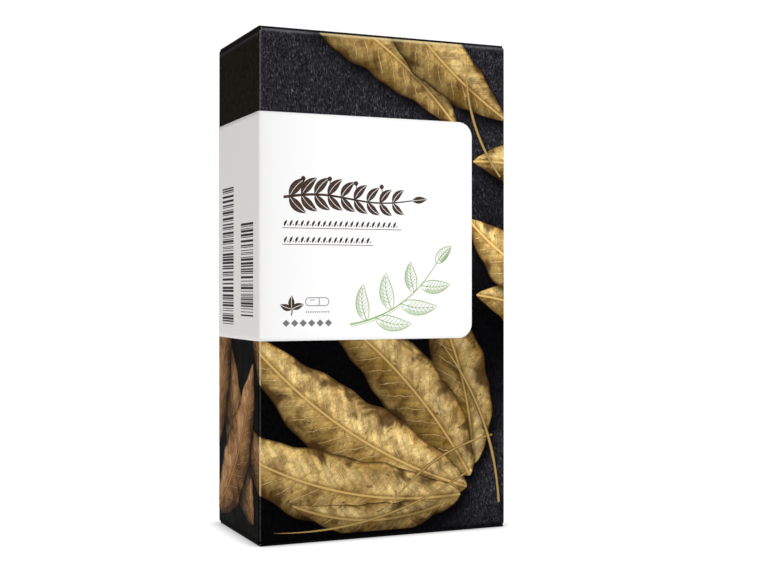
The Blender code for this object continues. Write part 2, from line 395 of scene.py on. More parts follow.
def slate_ink(recipe):
    """Colour of the slate print: near-black, with slanted pale streaks that gather where the
    light pools, lighter along folds, where scuffing and a painted highlight lie, and browner and
    plainer on the narrow walls."""
    tones = bpy.context.scene.carton_colours
    shade, side, wear_highlight = (recipe.value(name) for name in ("shade", "side", "wear_highlight"))
    slanted = recipe.place((1, 1, 0.3), vector=recipe.place(turn=(0, 0.16, 0)))
    grain = recipe.ramp(recipe.noise(2900, 1.5, slanted), 0.53, 0.80)
    fine = recipe.ramp(recipe.noise(5200, 1.0, slanted), 0.56, 0.80)
    cloud = recipe.ramp(recipe.noise(360, 3.0), 0.25, 0.70, 0.25, 1.0)
    specks = recipe.math("MULTIPLY", recipe.math("MAXIMUM", grain, fine), cloud)
    specks = recipe.math("MULTIPLY", specks, recipe.ramp(shade, 0.15, 1.0))
    specks = recipe.math("MULTIPLY", specks, recipe.ramp(side, 0.0, 1.0, 1.0, 0.05))
    body = recipe.ramp(recipe.noise(2300, 2.0, slanted), 0.28, 0.72, 0.35, 1.65)
    ground = recipe.mix(side, tones.slate, tones.slate_side)
    ground = recipe.dim(recipe.dim(ground, body), recipe.math("ADD", shade, 0.05))
    colour = recipe.mix(specks, ground, tones.speck)
    # Pale line along folds and the top edge: partly scuffing and partly a painted highlight,
    # dimmer where shade is painted.
    rubbed_highlight = recipe.ramp(recipe.noise(900, 3.0), 0.2, 0.7, 0.25, 0.8)
    line = recipe.mix(side, tones.worn_highlight, recipe.dim(tones.worn_highlight, 0.35))
    rubbed_highlight = recipe.math("MULTIPLY", rubbed_highlight, recipe.ramp(shade, 0.0, 0.9, 0.35, 1.0))
    return recipe.mix(recipe.math("MULTIPLY", wear_highlight, rubbed_highlight), colour, line)


def slate_print():
    """Matt print of the slate, with faint changes of sheen and the board's fibres under it."""
    recipe = Recipe("slate_print", roughness=0.52, specular=0.008)
    colour = slate_ink(recipe)
    sheen = recipe.ramp(recipe.noise(260, 4.0), 0.2, 0.8, 0.46, 0.60)
    return recipe.finish(colour, sheen, recipe.noise(2400, 3.0), COATED_RELIEF, 0.5)


def bare_board(recipe):
    """Colour of uncoated board: warm grey-white with short fibres and a few darker flecks."""
    tones = bpy.context.scene.carton_colours
    fibres = recipe.noise(1700, 5.0, recipe.place((1, 1, 0.25)), 0.6)
    flecks = recipe.ramp(recipe.cells(520), 0.05, 0.13)
    colour = recipe.mix(recipe.ramp(fibres, 0.3, 0.7), tones.board_grey, tones.board)
    return recipe.mix(recipe.ramp(flecks, 0, 1, 0.22, 0.0), colour, tones.fleck), fibres


def plain_board():
    """Uncoated inside of the board."""
    recipe = Recipe("plain_board", roughness=0.82, specular=0.3)
    colour, fibres = bare_board(recipe)
    return recipe.finish(colour, None, fibres, 0.02 * MM, 0.6)


def cut_edge():
    """Die-cut edge: pale middle plies with a rough, slightly crushed grain."""
    tones = bpy.context.scene.carton_colours
    recipe = Recipe("cut_edge", roughness=0.9, specular=0.2)
    plies = recipe.noise(5200, 4.0, recipe.place((1, 1, 3)))
    colour = recipe.mix(plies, tones.board_grey, tones.board)
    return recipe.finish(recipe.dim(colour, 0.82), None, plies, 0.03 * MM, 0.8)


def dust_print():
    """Dust flap outside: the slate print bleeds a little past the crease, and the rest is bare."""
    recipe = Recipe("dust_print", roughness=0.7, specular=0.02)
    bare, fibres = bare_board(recipe)
    ragged = recipe.math("MULTIPLY_ADD", fibres, 0.3, -0.15)
    ink_and_shade = recipe.math("ADD", recipe.value("ink"), ragged)
    colour = recipe.mix(recipe.ramp(ink_and_shade, 0.45, 0.55), bare, slate_ink(recipe))
    return recipe.finish(colour, None, fibres, 0.015 * MM, 0.6)


def leaf_body(recipe, across, soft):
    """Colour of a leaf's blade: ochre, cream and brown patches, with light along its upper half
    and shade on its lower one."""
    tones = bpy.context.scene.carton_colours
    broad = recipe.noise(60, 4.0, None, 0.6)
    colour = recipe.mix(recipe.ramp(broad, 0.38, 0.60), tones.ochre, tones.cream)
    colour = recipe.mix(recipe.ramp(soft, 0.46, 0.66, 0.0, 0.7), colour, tones.brown)
    crest = recipe.math("ABSOLUTE", recipe.math("SUBTRACT", across, 0.42))
    lit = recipe.ramp(crest, 0.0, 0.55, 0.6, 0.0)
    lit = recipe.math("MULTIPLY", lit, recipe.ramp(soft, 0.35, 0.60, 1.0, 0.3))
    colour = recipe.mix(lit, colour, tones.highlight)
    return recipe.dim(colour, recipe.ramp(across, -1.0, 0.4, 0.30, 1.08))


def leaf_veins(recipe, colour, along, away, outwards, soft):
    """Adds side veins, a pitch apart along the midrib and slanted away from it. The blade
    brightens from one to the next, and each is a groove with a ridge in it that fades towards
    the leaf's edge."""
    tones = bpy.context.scene.carton_colours
    wobble = recipe.math("MULTIPLY_ADD", soft, 3.2 * MM, -1.6 * MM)
    slant = recipe.math("POWER", away, 0.9)
    run = recipe.math("MULTIPLY_ADD", slant, -0.66, recipe.math("ADD", along, wobble))
    phase = recipe.math("FRACT", recipe.math("DIVIDE", run, VEIN_PITCH))
    colour = recipe.dim(colour, recipe.ramp(phase, 0.0, 1.0, 0.85, 1.13))
    vein = recipe.math("ABSOLUTE", recipe.math("SUBTRACT", phase, 0.5))
    fade = recipe.ramp(outwards, 0.45, 0.95, 1.0, 0.0)
    groove = recipe.math("MULTIPLY", recipe.ramp(vein, 0.03, 0.15, 0.42, 0.0), fade)
    ridge = recipe.math("MULTIPLY", recipe.ramp(vein, 0.0, 0.055, 0.5, 0.0), fade)
    colour = recipe.mix(groove, colour, tones.brown)
    return recipe.mix(ridge, colour, tones.highlight)


def leaf_stains(recipe, colour, outwards):
    """Adds a net of fine veins, a crinkled surface's light, spots, and blotches that gather
    towards the leaf's edge."""
    tones = bpy.context.scene.carton_colours
    net = recipe.cells(700, "DISTANCE_TO_EDGE")
    colour = recipe.mix(recipe.ramp(net, 0.02, 0.10, 0.22, 0.0), colour, tones.brown)
    coarse = recipe.relief(260, 0.40 * MM, 2.0, 1.5)
    crinkle = recipe.math("MULTIPLY", coarse, recipe.relief(1100, 0.12 * MM, 3.0, 1.3))
    colour = recipe.dim(colour, recipe.math("MAXIMUM", crinkle, 0.25))
    spots = recipe.ramp(recipe.noise(520, 4.0, None, 1.2), 0.63, 0.72, 0.0, 0.7)
    colour = recipe.mix(spots, colour, tones.umber)
    blotch = recipe.math("MULTIPLY_ADD", outwards, 0.36, recipe.noise(130, 4.0, None, 0.8))
    return recipe.mix(recipe.ramp(blotch, 0.74, 0.92, 0.0, 0.85), colour, tones.umber)


def leaf_print():
    """Printed dry leaf. The side veins, midrib and edge follow the values that its points hold,
    and the patches, net, spots and blotches are noise in the carton's own coordinates."""
    tones = bpy.context.scene.carton_colours
    recipe = Recipe("leaf_print", roughness=0.48, specular=0.008)
    names = ("along", "across", "offset", "tint", "shade", "side", "wear_highlight")
    along, across, offset, tint, shade, side, wear_highlight = (recipe.value(name) for name in names)
    outwards = recipe.math("ABSOLUTE", across)
    away = recipe.math("ABSOLUTE", offset)
    soft = recipe.noise(210, 5.0, None, 0.5)
    colour = leaf_body(recipe, across, soft)
    colour = leaf_veins(recipe, colour, along, away, outwards, soft)
    colour = leaf_stains(recipe, colour, outwards)
    colour = recipe.mix(recipe.ramp(away, 0.30 * MM, 1.3 * MM, 0.55, 0.0), colour, tones.brown)
    colour = recipe.mix(recipe.ramp(away, 0.14 * MM, 0.40 * MM, 0.85, 0.0), colour, tones.cream)
    colour = recipe.mix(recipe.ramp(outwards, 0.88, 1.0, 0.0, 0.8), colour, tones.umber)
    colour = recipe.dim(recipe.dim(colour, tint), shade)
    darker = recipe.mix(1.0, colour, tones.side_tone, "MULTIPLY")
    colour = recipe.mix(side, colour, darker)
    # Pale line along folds and the top edge: partly scuffing and partly a painted highlight.
    rubbed_highlight = recipe.mix(side, tones.worn_leaf_highlight, recipe.dim(tones.worn_leaf_highlight, 0.2))
    colour = recipe.mix(recipe.math("MULTIPLY", wear_highlight, 0.7), colour, rubbed_highlight)
    return recipe.finish(colour, None, recipe.noise(2400, 3.0), COATED_RELIEF, 0.5)


def label_print():
    """White of the label: coated board with faint fibres. On the left wall it takes a warmer
    white, a painted tint of the light there, and beside the front fold its points hold painted
    shade.
    """
    tones = bpy.context.scene.carton_colours
    recipe = Recipe("label_print", roughness=0.46, specular=0.1)
    fibre = recipe.noise(1900, 4.0)
    tone = recipe.ramp(fibre, 0.2, 0.8, 0.985, 1.0)
    ground = recipe.mix(recipe.value("side"), tones.label, tones.label_side_light)
    colour = recipe.dim(recipe.dim(ground, tone), recipe.value("shade"))
    # Pale line along the label's folds: partly scuffing and partly a painted highlight.
    line = recipe.math("MULTIPLY", recipe.value("wear_highlight"), 0.8)
    colour = recipe.mix(line, colour, tones.label_fold_highlight)
    return recipe.finish(colour, None, fibre, COATED_RELIEF, 0.5)


def ink(name, tone, cover=0.12):
    """Line ink that lets a little of the board through where the paper is rough."""
    recipe = Recipe(name, roughness=0.5, specular=0.04)
    rough = recipe.ramp(recipe.noise(5200, 2.0), 0.40, 0.80, 0.0, cover)
    tones = bpy.context.scene.carton_colours
    return recipe.finish(recipe.mix(rough, tone, tones.label))


def clear_film():
    """Thermoformed film: nearly clear face on, more opaque edge on, with faint draw lines."""
    tones = bpy.context.scene.carton_colours
    recipe = Recipe("clear_film", roughness=0.09, specular=0.6)
    recipe.shader.inputs["Base Color"].default_value = (*tones.film, 1.0)
    facing_away = recipe.add("ShaderNodeLayerWeight", {"Blend": 0.35}).outputs["Facing"]
    cover = recipe.ramp(facing_away, 0.15, 0.95, 0.07, 0.36)
    recipe.tree.links.new(cover, recipe.shader.inputs["Alpha"])
    draw = recipe.noise(210, 2.0, recipe.place((1, 1, 0.4)))
    return recipe.finish(None, recipe.ramp(draw, 0.3, 0.7, 0.06, 0.14), draw, 0.05 * MM, 0.4)


def capsule_shell():
    """Clear shell over pale ochre powder, darker where the cap makes it two shells thick."""
    tones = bpy.context.scene.carton_colours
    recipe = Recipe("capsule_shell", roughness=0.16, specular=0.5)
    powder = recipe.noise(1500, 5.0)
    grains = recipe.ramp(recipe.cells(2100), 0.12, 0.3, 0.5, 0.0)
    colour = recipe.mix(recipe.ramp(powder, 0.3, 0.72), tones.powder_dark, tones.powder)
    colour = recipe.mix(grains, colour, tones.brown)
    colour = recipe.mix(recipe.value("cap"), colour, recipe.dim(colour, 0.74))
    rough = recipe.ramp(recipe.noise(300, 2.0), 0.3, 0.7, 0.12, 0.2)
    return recipe.finish(colour, rough, powder, 0.01 * MM, 0.3)


def pressed_foil():
    """Lidding foil: satin metal with the fine diamond grid of the sealing plate."""
    tones = bpy.context.scene.carton_colours
    recipe = Recipe("pressed_foil", roughness=0.36, Metallic=0.65)
    recipe.shader.inputs["Base Color"].default_value = (*tones.foil, 1.0)
    turned = recipe.place(turn=(0, math.pi / 4, 0))
    position = recipe.add("ShaderNodeSeparateXYZ", {"Vector": turned})
    turns = 2 * math.pi / KNURL_PITCH
    waves = [
        recipe.math("SINE", recipe.math("MULTIPLY", position.outputs[axis], turns))
        for axis in "XZ"
    ]
    knurl = recipe.math("MULTIPLY", *waves)
    rough = recipe.ramp(recipe.noise(160, 3.0), 0.3, 0.7, 0.24, 0.38)
    return recipe.finish(None, rough, knurl, 0.05 * MM, 0.7)


def leaflet_stock():
    """Thin uncoated printing paper with a soft fibre mottle."""
    tones = bpy.context.scene.carton_colours
    recipe = Recipe("leaflet_stock", roughness=0.78, specular=0.25)
    fibre = recipe.noise(1200, 5.0, None, 0.5)
    cloud = recipe.noise(140, 3.0)
    colour = recipe.mix(recipe.ramp(fibre, 0.3, 0.7), tones.paper_grey, tones.paper)
    colour = recipe.dim(colour, recipe.ramp(cloud, 0.3, 0.7, 0.96, 1.0))
    return recipe.finish(colour, None, fibre, 0.015 * MM, 0.5)


def pale_floor():
    """White acrylic table that glows evenly of itself. Within a few millimetres of the carton the
    glow fades by ambient occlusion, a painted contact shadow."""
    recipe = Recipe("pale_floor", roughness=0.7, specular=0.02)
    recipe.shader.inputs["Emission Color"].default_value = (1, 1, 1, 1)
    inputs = {"Distance": FLOOR_SHADOW_REACH}
    # Ambient occlusion dims the glow near the carton: a painted contact shadow.
    painted_shadow_factor = recipe.add("ShaderNodeAmbientOcclusion", inputs, samples=12).outputs["AO"]
    glow = recipe.math("MULTIPLY", painted_shadow_factor, bpy.context.scene.carton_stage.table)
    recipe.tree.links.new(glow, recipe.shader.inputs["Emission Strength"])
    cloud = recipe.ramp(recipe.noise(3, 2.0), 0.3, 0.7, 0.985, 1.0)
    tones = bpy.context.scene.carton_colours
    return recipe.finish(recipe.dim(tones.floor, cloud))


# Picture on the slate: dry leaves

class Leaf(NamedTuple):
    """A leaf or stalk in sheet coordinates, in millimetres. Higher layers lie over lower ones."""

    name: str
    base: tuple
    tip: tuple
    bend: float
    width: float
    tint: float
    layer: int


LEAVES = tuple(Leaf(*row) for row in (
    ("front_1", (62, 18), (45, 72), -4, 16, 0.62, 0),
    ("front_2", (61, 15), (15, 64), -4, 18, 0.74, 1),
    ("front_3", (60, 12), (-6, 57), 6, 20, 0.88, 2),
    ("front_4", (58, 10), (-19, 34), 8, 19, 0.80, 3),
    ("front_5", (52, 7.5), (9, 10), 4, 9, 0.55, 4),
    ("left_1", (-38, 22), (-22, 68), 3, 15, 0.9, 3),
    ("left_2", (-38, 5), (-5, 47), -5, 19, 1.05, 4),
    ("left_3", (-5, 5), (-31, 60), 4, 19, 0.75, 2),
    ("strip_1", (104, 48), (63, 65), -3, 17, 1.1, 0),
    ("strip_2", (104, 66), (60.5, 86), 5, 19, 1.45, 1),
    ("strip_3", (104, 90), (62, 102), -4, 17, 1.2, 2),
    ("top_1", (4, 147), (57, 111), 5, 18, 1.0, 0),
    ("top_2", (34, 151), (72.5, 114), -3, 17, 0.9, 1),
    ("right_1", (109, 24), (84, 60), 3, 14, 0.85, 3),
    ("right_2", (108, 6), (76, 38), -4, 17, 0.95, 4),
    ("right_3", (77, 5), (101, 55), -4, 16, 0.75, 2),
    ("back_1", (-107, 9), (-66, 58), 4, 17, 0.75, 0),
    ("back_2", (-106, 7), (-50, 38), 5, 19, 0.95, 1),
    ("back_3", (-104, 5), (-48, 14), -2, 11, 0.85, 2),
    ("back_4", (-98, 150), (-60, 111), 4, 16, 0.95, 0),
    ("back_5", (-72, 151), (-44, 112), -3, 15, 0.9, 1),
    # Stalks: a leaf's outline at a stalk's width
    ("stalk_1", (68, 26), (33, 3.0), -4.5, 0.9, 0.55, 5),
    ("stalk_2", (60, 16), (4, 3.2), 4.5, 0.8, 0.5, 6),
    ("stalk_3", (70, 7), (52, 52), -4, 1.0, 0.6, 7),
    ("stalk_4", (70.5, 98), (60, 132), 3.5, 0.9, 0.65, 3),
    ("stalk_5", (-60, 11), (-92, 50), -3, 0.9, 0.6, 3),
))
LEAF_ROWS = 72
LEAF_COLUMNS = 18
STALK = 0.7 * MM  # about the least width of a leaf at its base

# Light of the picture: full at the top, and a pool at the lower right of its front and back
LIGHT_START = 60 * MM
LIGHT_RISE = 50 * MM
POOL_S = 68 * MM
POOL_Z = 16 * MM
POOL_SPREAD = 20 * MM
DARKEST = 0.05

# Shadows of the picture: how far each falls along s and z, and half the width of its soft edge
GROUND_SHADOW = (1.2 * MM, -2.6 * MM)
GROUND_SOFT = 3.2 * MM
STALK_SOFT = 0.8 * MM
LEAF_SHADOW = (1.1 * MM, -2.4 * MM)
LEAF_SOFT = 2.2 * MM

# The line below the top edge is partly scuffing and partly a painted highlight.
EDGE_CUTS = (0.2 * MM, 0.45 * MM, 0.7 * MM, 1.0 * MM)  # below the edge, for its worn line
PRINT_MARGIN = 0.05 * MM  # print ends this far from the board's edge


def midrib(leaf, t):
    """Points along a leaf's midrib, its left normals and its half width.

    The line is base + (tip - base) t, pushed sideways by 4 bend t (1 - t). The half width is
    sin(pi t ^ 0.8) ^ 0.75 of the leaf's own, rippled a little, and no less than the stalk's.
    """
    base, tip = np.array(leaf.base) * MM, np.array(leaf.tip) * MM
    chord = tip - base
    side = np.array([-chord[1], chord[0]]) / np.hypot(*chord)
    t = np.asarray(t, float)
    line = base + chord * t[:, None] + side * (4 * leaf.bend * MM * t * (1 - t))[:, None]
    direction = chord + side * (4 * leaf.bend * MM * (1 - 2 * t))[:, None]
    direction /= np.linalg.norm(direction, axis=1)[:, None]
    left = np.stack([-direction[:, 1], direction[:, 0]], axis=1)
    full = np.sin(np.pi * np.clip(t, 0, 1) ** 0.8) ** 0.75
    ripple = 1 + 0.045 * np.sin(23 * t + leaf.bend) + 0.03 * np.sin(47 * t + leaf.width)
    stalk = STALK / 2 * (1 - t) + 0.03 * MM
    return line, left, np.maximum(leaf.width / 2 * MM * full * ripple, stalk)


def leaf_cover(leaf, s, z, shift, soft):
    """How much a leaf, moved by shift, covers each point: 1 inside and 0 outside, softly."""
    line, _, half = midrib(leaf, np.linspace(0, 1, 60))
    line = line + np.array(shift)
    points = np.stack([np.ravel(s), np.ravel(z)], axis=1)
    cover = np.zeros(len(points))
    low, high = line.min(0) - leaf.width * MM, line.max(0) + leaf.width * MM
    near = np.all((points > low) & (points < high), axis=1)
    if near.any():
        apart = points[near][:, None, :] - line[None, :, :]
        closest = np.linalg.norm(apart, axis=2).argmin(1)
        away = np.linalg.norm(apart[np.arange(len(closest)), closest], axis=1)
        inside = np.clip(0.5 - (away - half[closest]) / (2 * soft), 0, 1)
        cover[near] = inside * inside * (3 - 2 * inside)
    return cover.reshape(np.shape(s))


def picture_side(s):
    """Sheet position in the range that the leaves are laid out in, from -110 to 110 mm."""
    s = np.mod(np.asarray(s, float), PERIMETER)
    return np.where(s > WIDTH + DEPTH, s - PERIMETER, s)


def light_pools(s, z):
    """Brightness of the slate before shadows: full at the top, a pool at the lower right of the
    front and back, and nearly dark elsewhere below the label."""
    s = np.where(s < -DEPTH, s + WIDTH + DEPTH, s)
    upper = np.clip((z - LIGHT_START) / LIGHT_RISE, 0, 1)
    pool = np.exp(-(((s - POOL_S) / POOL_SPREAD) ** 2) - ((z - POOL_Z) / POOL_SPREAD) ** 2)
    return DARKEST + (1 - DARKEST) * np.maximum(upper, pool)


def ground_shade(s, z):
    """Light pools, less the soft shadow of every leaf, cast down and to the right."""
    s = picture_side(s)
    dark = np.zeros(np.shape(s))
    for leaf in LEAVES:
        soft = STALK_SOFT if leaf.name.startswith("stalk") else GROUND_SOFT
        dark = np.maximum(dark, leaf_cover(leaf, s, z, GROUND_SHADOW, soft))
    return light_pools(s, z) * (1 - 0.9 * dark)


def cut_to_sleeve(piece):
    """Cuts a flat sheet of print along the fold lines, and trims it to the sleeve's height."""
    work = bmesh.new()
    work.from_mesh(piece.data)
    low = min(vertex.co.x for vertex in work.verts)
    high = max(vertex.co.x for vertex in work.verts)

    def cut(point, normal, clear=False):
        everything = work.verts[:] + work.edges[:] + work.faces[:]
        bmesh.ops.bisect_plane(
            work, geom=everything, dist=1e-8, plane_co=point, plane_no=normal, clear_outer=clear
        )

    for line in fold_lines():
        if low < line < high:
            cut((line, 0, 0), (1, 0, 0))
    for depth in EDGE_CUTS:
        cut((0, HEIGHT - FRONT_DROP - depth, 0), (0, 1, 0))
    on_front = low > -FOLD and high < WIDTH + FOLD
    upper = HEIGHT - (FRONT_DROP if on_front else SIDE_DROP)
    cut((0, upper - PRINT_MARGIN, 0), (0, 1, 0), True)
    cut((0, SIDE_DROP + PRINT_MARGIN, 0), (0, -1, 0), True)
    work.to_mesh(piece.data)
    work.free()


def lay_print(piece, lift, values):
    """Carries a flat sheet of print, at x = s and y = z, on to the sleeve, and gives it the
    ink's thickness. values gives more numbers for each point from s and z."""
    cut_to_sleeve(piece)
    mesh = piece.data
    flat = np.zeros(len(mesh.vertices) * 3, np.float32)
    mesh.vertices.foreach_get("co", flat)
    s, z = flat.reshape(-1, 3)[:, :2].astype(float).T
    mesh.vertices.foreach_set("co", wrap(s, z, lift).astype(np.float32).ravel())
    set_values(mesh, values(s, z))
    mesh.update()
    film = piece.modifiers.new("ink", "SOLIDIFY")
    film.thickness = INK
    film.offset = -1
    return piece


def make_leaf(leaf, material):
    """One printed leaf: midrib(t) + left * half(t) * across, over t and across."""
    t = np.sin(np.linspace(0, math.pi / 2, LEAF_ROWS)) ** 1.15
    across = np.linspace(1, -1, LEAF_COLUMNS)
    line, left, half = midrib(leaf, t)
    offset = across[None, :] * half[:, None]
    grid = line[:, None, :] + left[:, None, :] * offset[..., None]
    points = np.concatenate([grid, np.zeros(grid.shape[:2] + (1,))], axis=2).reshape(-1, 3)
    steps = np.linalg.norm(np.diff(line, axis=0), axis=1)
    along = np.concatenate([[0], np.cumsum(steps)])
    upward = np.where(left[:, 1] > 0, 1, -1)[:, None]
    values = {
        "along": np.repeat(along, LEAF_COLUMNS),
        "across": np.broadcast_to(across[None, :] * upward, offset.shape),
        "offset": offset * upward,
        "tint": np.full(offset.shape, leaf.tint),
    }
    quads = grid_quads(LEAF_ROWS, LEAF_COLUMNS)
    piece = make_piece(f"leaf_print_{leaf.name}", points, quads, [material], None, values, 60)
    above = [other for other in LEAVES if other.layer >= leaf.layer and other is not leaf]

    def shaded(s, z):
        dark = np.zeros(len(s))
        for other in above:
            dark = np.maximum(dark, leaf_cover(other, s, z, LEAF_SHADOW, LEAF_SOFT))
        # Pale lines along the folds and top edge: partly scuffing and partly a painted highlight.
        wear_highlight = np.maximum(fold_wear_highlight(s), edge_wear_highlight(z, HEIGHT - FRONT_DROP))
        return {"shade": 1 - 0.86 * dark, "side": on_side(s), "wear_highlight": wear_highlight}

    return lay_print(piece, LEAF_LIFT + leaf.layer * LEAF_STEP, shaded)


# Sleeve

WALL_STEPS = (72, 24, 40, 38)  # columns on the front, right, back and left walls


def sleeve_columns():
    """Sheet positions of the sleeve's columns: arcs at the folds and even steps on the walls."""
    arc = np.linspace(0, FOLD, 5)
    columns = []
    for start, length, steps in zip(WALL_STARTS, WALL_LENGTHS, WALL_STEPS):
        flat = np.linspace(FOLD, length - FOLD, steps)[1:-1]
        columns.append(start + np.concatenate([arc, flat, length - arc[:0:-1]]))
    return np.concatenate(columns)


def sleeve_ends(s):
    """Lower and upper level of the sleeve at each column."""
    wall, t = wall_at(s)
    corner = (t < FOLD - 1e-9) | (t > WALL_LENGTHS[wall] - FOLD + 1e-9)
    lower = np.array([BACK_DROP, SIDE_DROP, FRONT_DROP, SIDE_DROP])[wall]
    upper = np.array([FRONT_DROP, SIDE_DROP, BACK_DROP, SIDE_DROP])[wall]
    lower = np.where(corner, CORNER_DROP, lower)
    upper = np.where(corner, CORNER_DROP, upper)
    return lower, HEIGHT - upper


def sleeve_parts(outer, inner):
    """A closed wall from two grids whose last column meets the first."""
    index = np.arange(outer[..., 0].size).reshape(outer.shape[:2])
    index = np.concatenate([index, index[:, :1]], axis=1)
    start = np.concatenate([index[0, :-1], index[-1, 1:]])
    end = np.concatenate([index[0, 1:], index[-1, :-1]])
    return board_parts(outer, inner, index_quads(index), start, end)


def make_sleeve(materials):
    """The four walls, with their picture's light and shadow held on the points."""
    s = sleeve_columns()
    lower, upper = sleeve_ends(s)
    edge = np.array([0, 0.2, 0.4, 0.6, 0.8, 1.1]) * MM / HEIGHT
    wall = np.linspace(0.016, 0.984, 118)
    share = np.concatenate([edge, wall, 1 - edge[::-1]])[:, None]
    z = lower + (upper - lower) * share
    s = np.broadcast_to(s, z.shape)
    points, faces, sides = sleeve_parts(wrap(s, z), wrap(s, z, -BOARD))
    # Pale lines along the folds and top edge: partly scuffing and partly a painted highlight.
    wear_highlight = np.maximum(fold_wear_highlight(s), edge_wear_highlight(z, upper))
    values = {"shade": ground_shade(s, z), "side": on_side(s), "wear_highlight": wear_highlight}
    values = {name: np.tile(numbers.ravel(), 2) for name, numbers in values.items()}
    return make_piece("sleeve_board", points, faces, materials, sides, values)


def make_glue_flap(materials):
    """The lap inside the right wall: a flat plate whose ends slant in towards its free edge,
    with a bond line against the wall."""
    back, width, taper, margin = DEPTH / 2 - BOARD, 13 * MM, 5 * MM, 9 * MM
    across = np.linspace(0, 1, 14)
    up = np.linspace(0, 1, 40)[:, None]
    low = margin + taper * across
    z = low + (HEIGHT - 2 * low) * up
    y = np.broadcast_to(back - width * across, z.shape)
    x = np.full(z.shape, WIDTH / 2 - 2 * BOARD)
    inner = np.stack([x, y, z], axis=-1)
    outer = inner + np.array([BOARD - 0.02 * MM, 0, 0])
    points, faces, sides = plate_parts(*face_towards(inner, outer, (-1, 0, 0)))
    return make_piece("glue_flap_board", points, faces, materials, sides)


def face_towards(outer, inner, direction):
    """The two grids of a plate, with their columns turned round if the outer one faces away."""
    if np.dot(facing(outer), direction) < 0:
        return outer[:, ::-1], inner[:, ::-1]
    return outer, inner


# Closures. A crease's profile is in its own plane: how far in from the wall, and how high.

LID_HALF = WIDTH / 2 - 0.35 * MM
LID_REACH = DEPTH - BOARD - GAP  # from the lid's crease to its tongue's
LID_SAG = 0.10 * MM
TONGUE_ROOT = 1.1 * MM
TONGUE_LENGTH = 12 * MM
TONGUE_RADIUS = LID_REACH / 1.5
TONGUE_HALF = WIDTH / 2 - BOARD - 0.8 * MM
TONGUE_CORNER = 7 * MM
TONGUE_SHOULDER = 1.6 * MM
DUST_LENGTH = 27 * MM
DUST_CORNER = 3 * MM
DUST_FRONT = -DEPTH / 2 + 1.8 * MM
DUST_BACK = DEPTH / 2 - 1.3 * MM
DUST_STRAIGHT = 4 * MM  # how far in a dust flap's front edge runs before it slants
DUST_FRONT_SLANT = 0.16
DUST_BACK_SLANT = 0.56
DUST_PRINT = 2.5 * MM  # over this length the print at a dust flap's root fades out
# A cut edge near a crease takes the slate print: painted shade on the edge.
SHADED_EDGE = 1.6 * MM  # how far from a crease a tongue's or dust flap's cut edge is inked over
# Pale line along a closure's crease: partly scuffing and partly a painted highlight.
CREASE_WEAR_HIGHLIGHT = 0.16
# Painted shade at a crease: the share of the light taken out there, and how far it reaches.
CREASE_DARK = 0.75  # share of the picture's light that is lost at a crease
CREASE_DARK_REACH = 1.1 * MM


def crease_profile(root, reach, steps):
    """Outer line of a creased sheet: up the wall, round the crease on an arc, and inwards.

    Gives points (in, up), their outward normals and how far each lies from the crease.
    """
    r = CREASE_RADIUS
    up = np.linspace(-root, -r, 5)[:-1]
    wall = np.stack([np.zeros(len(up)), up], axis=1)
    angle = np.linspace(math.pi, math.pi / 2, 9)
    turned = np.stack([np.cos(angle), np.sin(angle)], axis=1)
    arc = np.array([r, -r]) + r * turned
    run = np.linspace(r, reach, steps)[1:]
    panel = np.stack([run, np.zeros(len(run))], axis=1)
    points = np.concatenate([wall, arc, panel])
    wall_normals, panel_normals = np.tile((-1, 0), (len(up), 1)), np.tile((0, 1), (len(run), 1))
    normals = np.concatenate([wall_normals, turned, panel_normals])
    away = np.linalg.norm(points - np.array([0.3 * r, -0.3 * r]), axis=1)
    return points, normals, away


def tongue_profile():
    """Outer line of the lid's front edge and tongue: along the lid, round the crease, and down
    a circle of the tongue's radius that bows inwards.

    Gives points (y, z), their outward normals, and how far each lies down the tongue and from
    the crease.
    """
    r, crease = CREASE_RADIUS, DEPTH / 2 - LID_REACH
    lid_y = np.linspace(crease + TONGUE_ROOT, crease + r, 4)[:-1]
    lid = np.stack([lid_y, np.full(len(lid_y), HEIGHT)], axis=1)
    angle = np.linspace(math.pi / 2, math.pi, 9)
    turned = np.stack([np.cos(angle), np.sin(angle)], axis=1)
    arc = np.array([crease + r, HEIGHT - r]) + r * turned
    steps = np.concatenate([[0.02, 0.04, 0.06], np.linspace(0, 1, 21)[2:]])
    down = r + (TONGUE_LENGTH - r) * np.sin(steps * math.pi / 2)
    turn = down / TONGUE_RADIUS
    bow_normals = -np.stack([np.cos(turn), np.sin(turn)], axis=1)
    bow = np.array([crease + TONGUE_RADIUS, HEIGHT]) + TONGUE_RADIUS * bow_normals
    points = np.concatenate([lid, arc, bow])
    normals = np.concatenate([np.tile((0, 1), (len(lid), 1)), turned, bow_normals])
    length = np.concatenate([np.zeros(len(lid) + len(arc)), down])
    away = np.linalg.norm(points - np.array([crease + 0.3 * r, HEIGHT - 0.3 * r]), axis=1)
    return points, normals, length, away


def turned_over(points):
    """The same places at the carton's other end: half a turn about X at mid-height."""
    return points * np.array([1, -1, -1]) + np.array([0, 0, HEIGHT])


def make_flap(name, outer, normals, direction, materials, values, lower):
    """A creased sheet of board from its outer grid and outward normals."""
    inner = outer - normals * BOARD
    flipped = np.dot(facing(outer), direction) < 0
    if flipped:
        outer, inner = outer[:, ::-1], inner[:, ::-1]
        values = {key: numbers[:, ::-1] for key, numbers in values.items()}
    if lower:
        outer, inner = turned_over(outer), turned_over(inner)
    points, faces, sides = plate_parts(outer, inner)
    near = np.tile(values.pop("near").ravel(), 2)
    # Cut-edge faces near the crease take the slate print: painted shade on the edge.
    ink_and_shade = (sides == CUT) & (near[faces.min(axis=1)] > 0.5)
    sides = np.where(ink_and_shade, PRINTED, sides)
    values = {key: np.tile(numbers.ravel(), 2) for key, numbers in values.items()}
    return make_piece(name, points, faces, materials, sides, values)


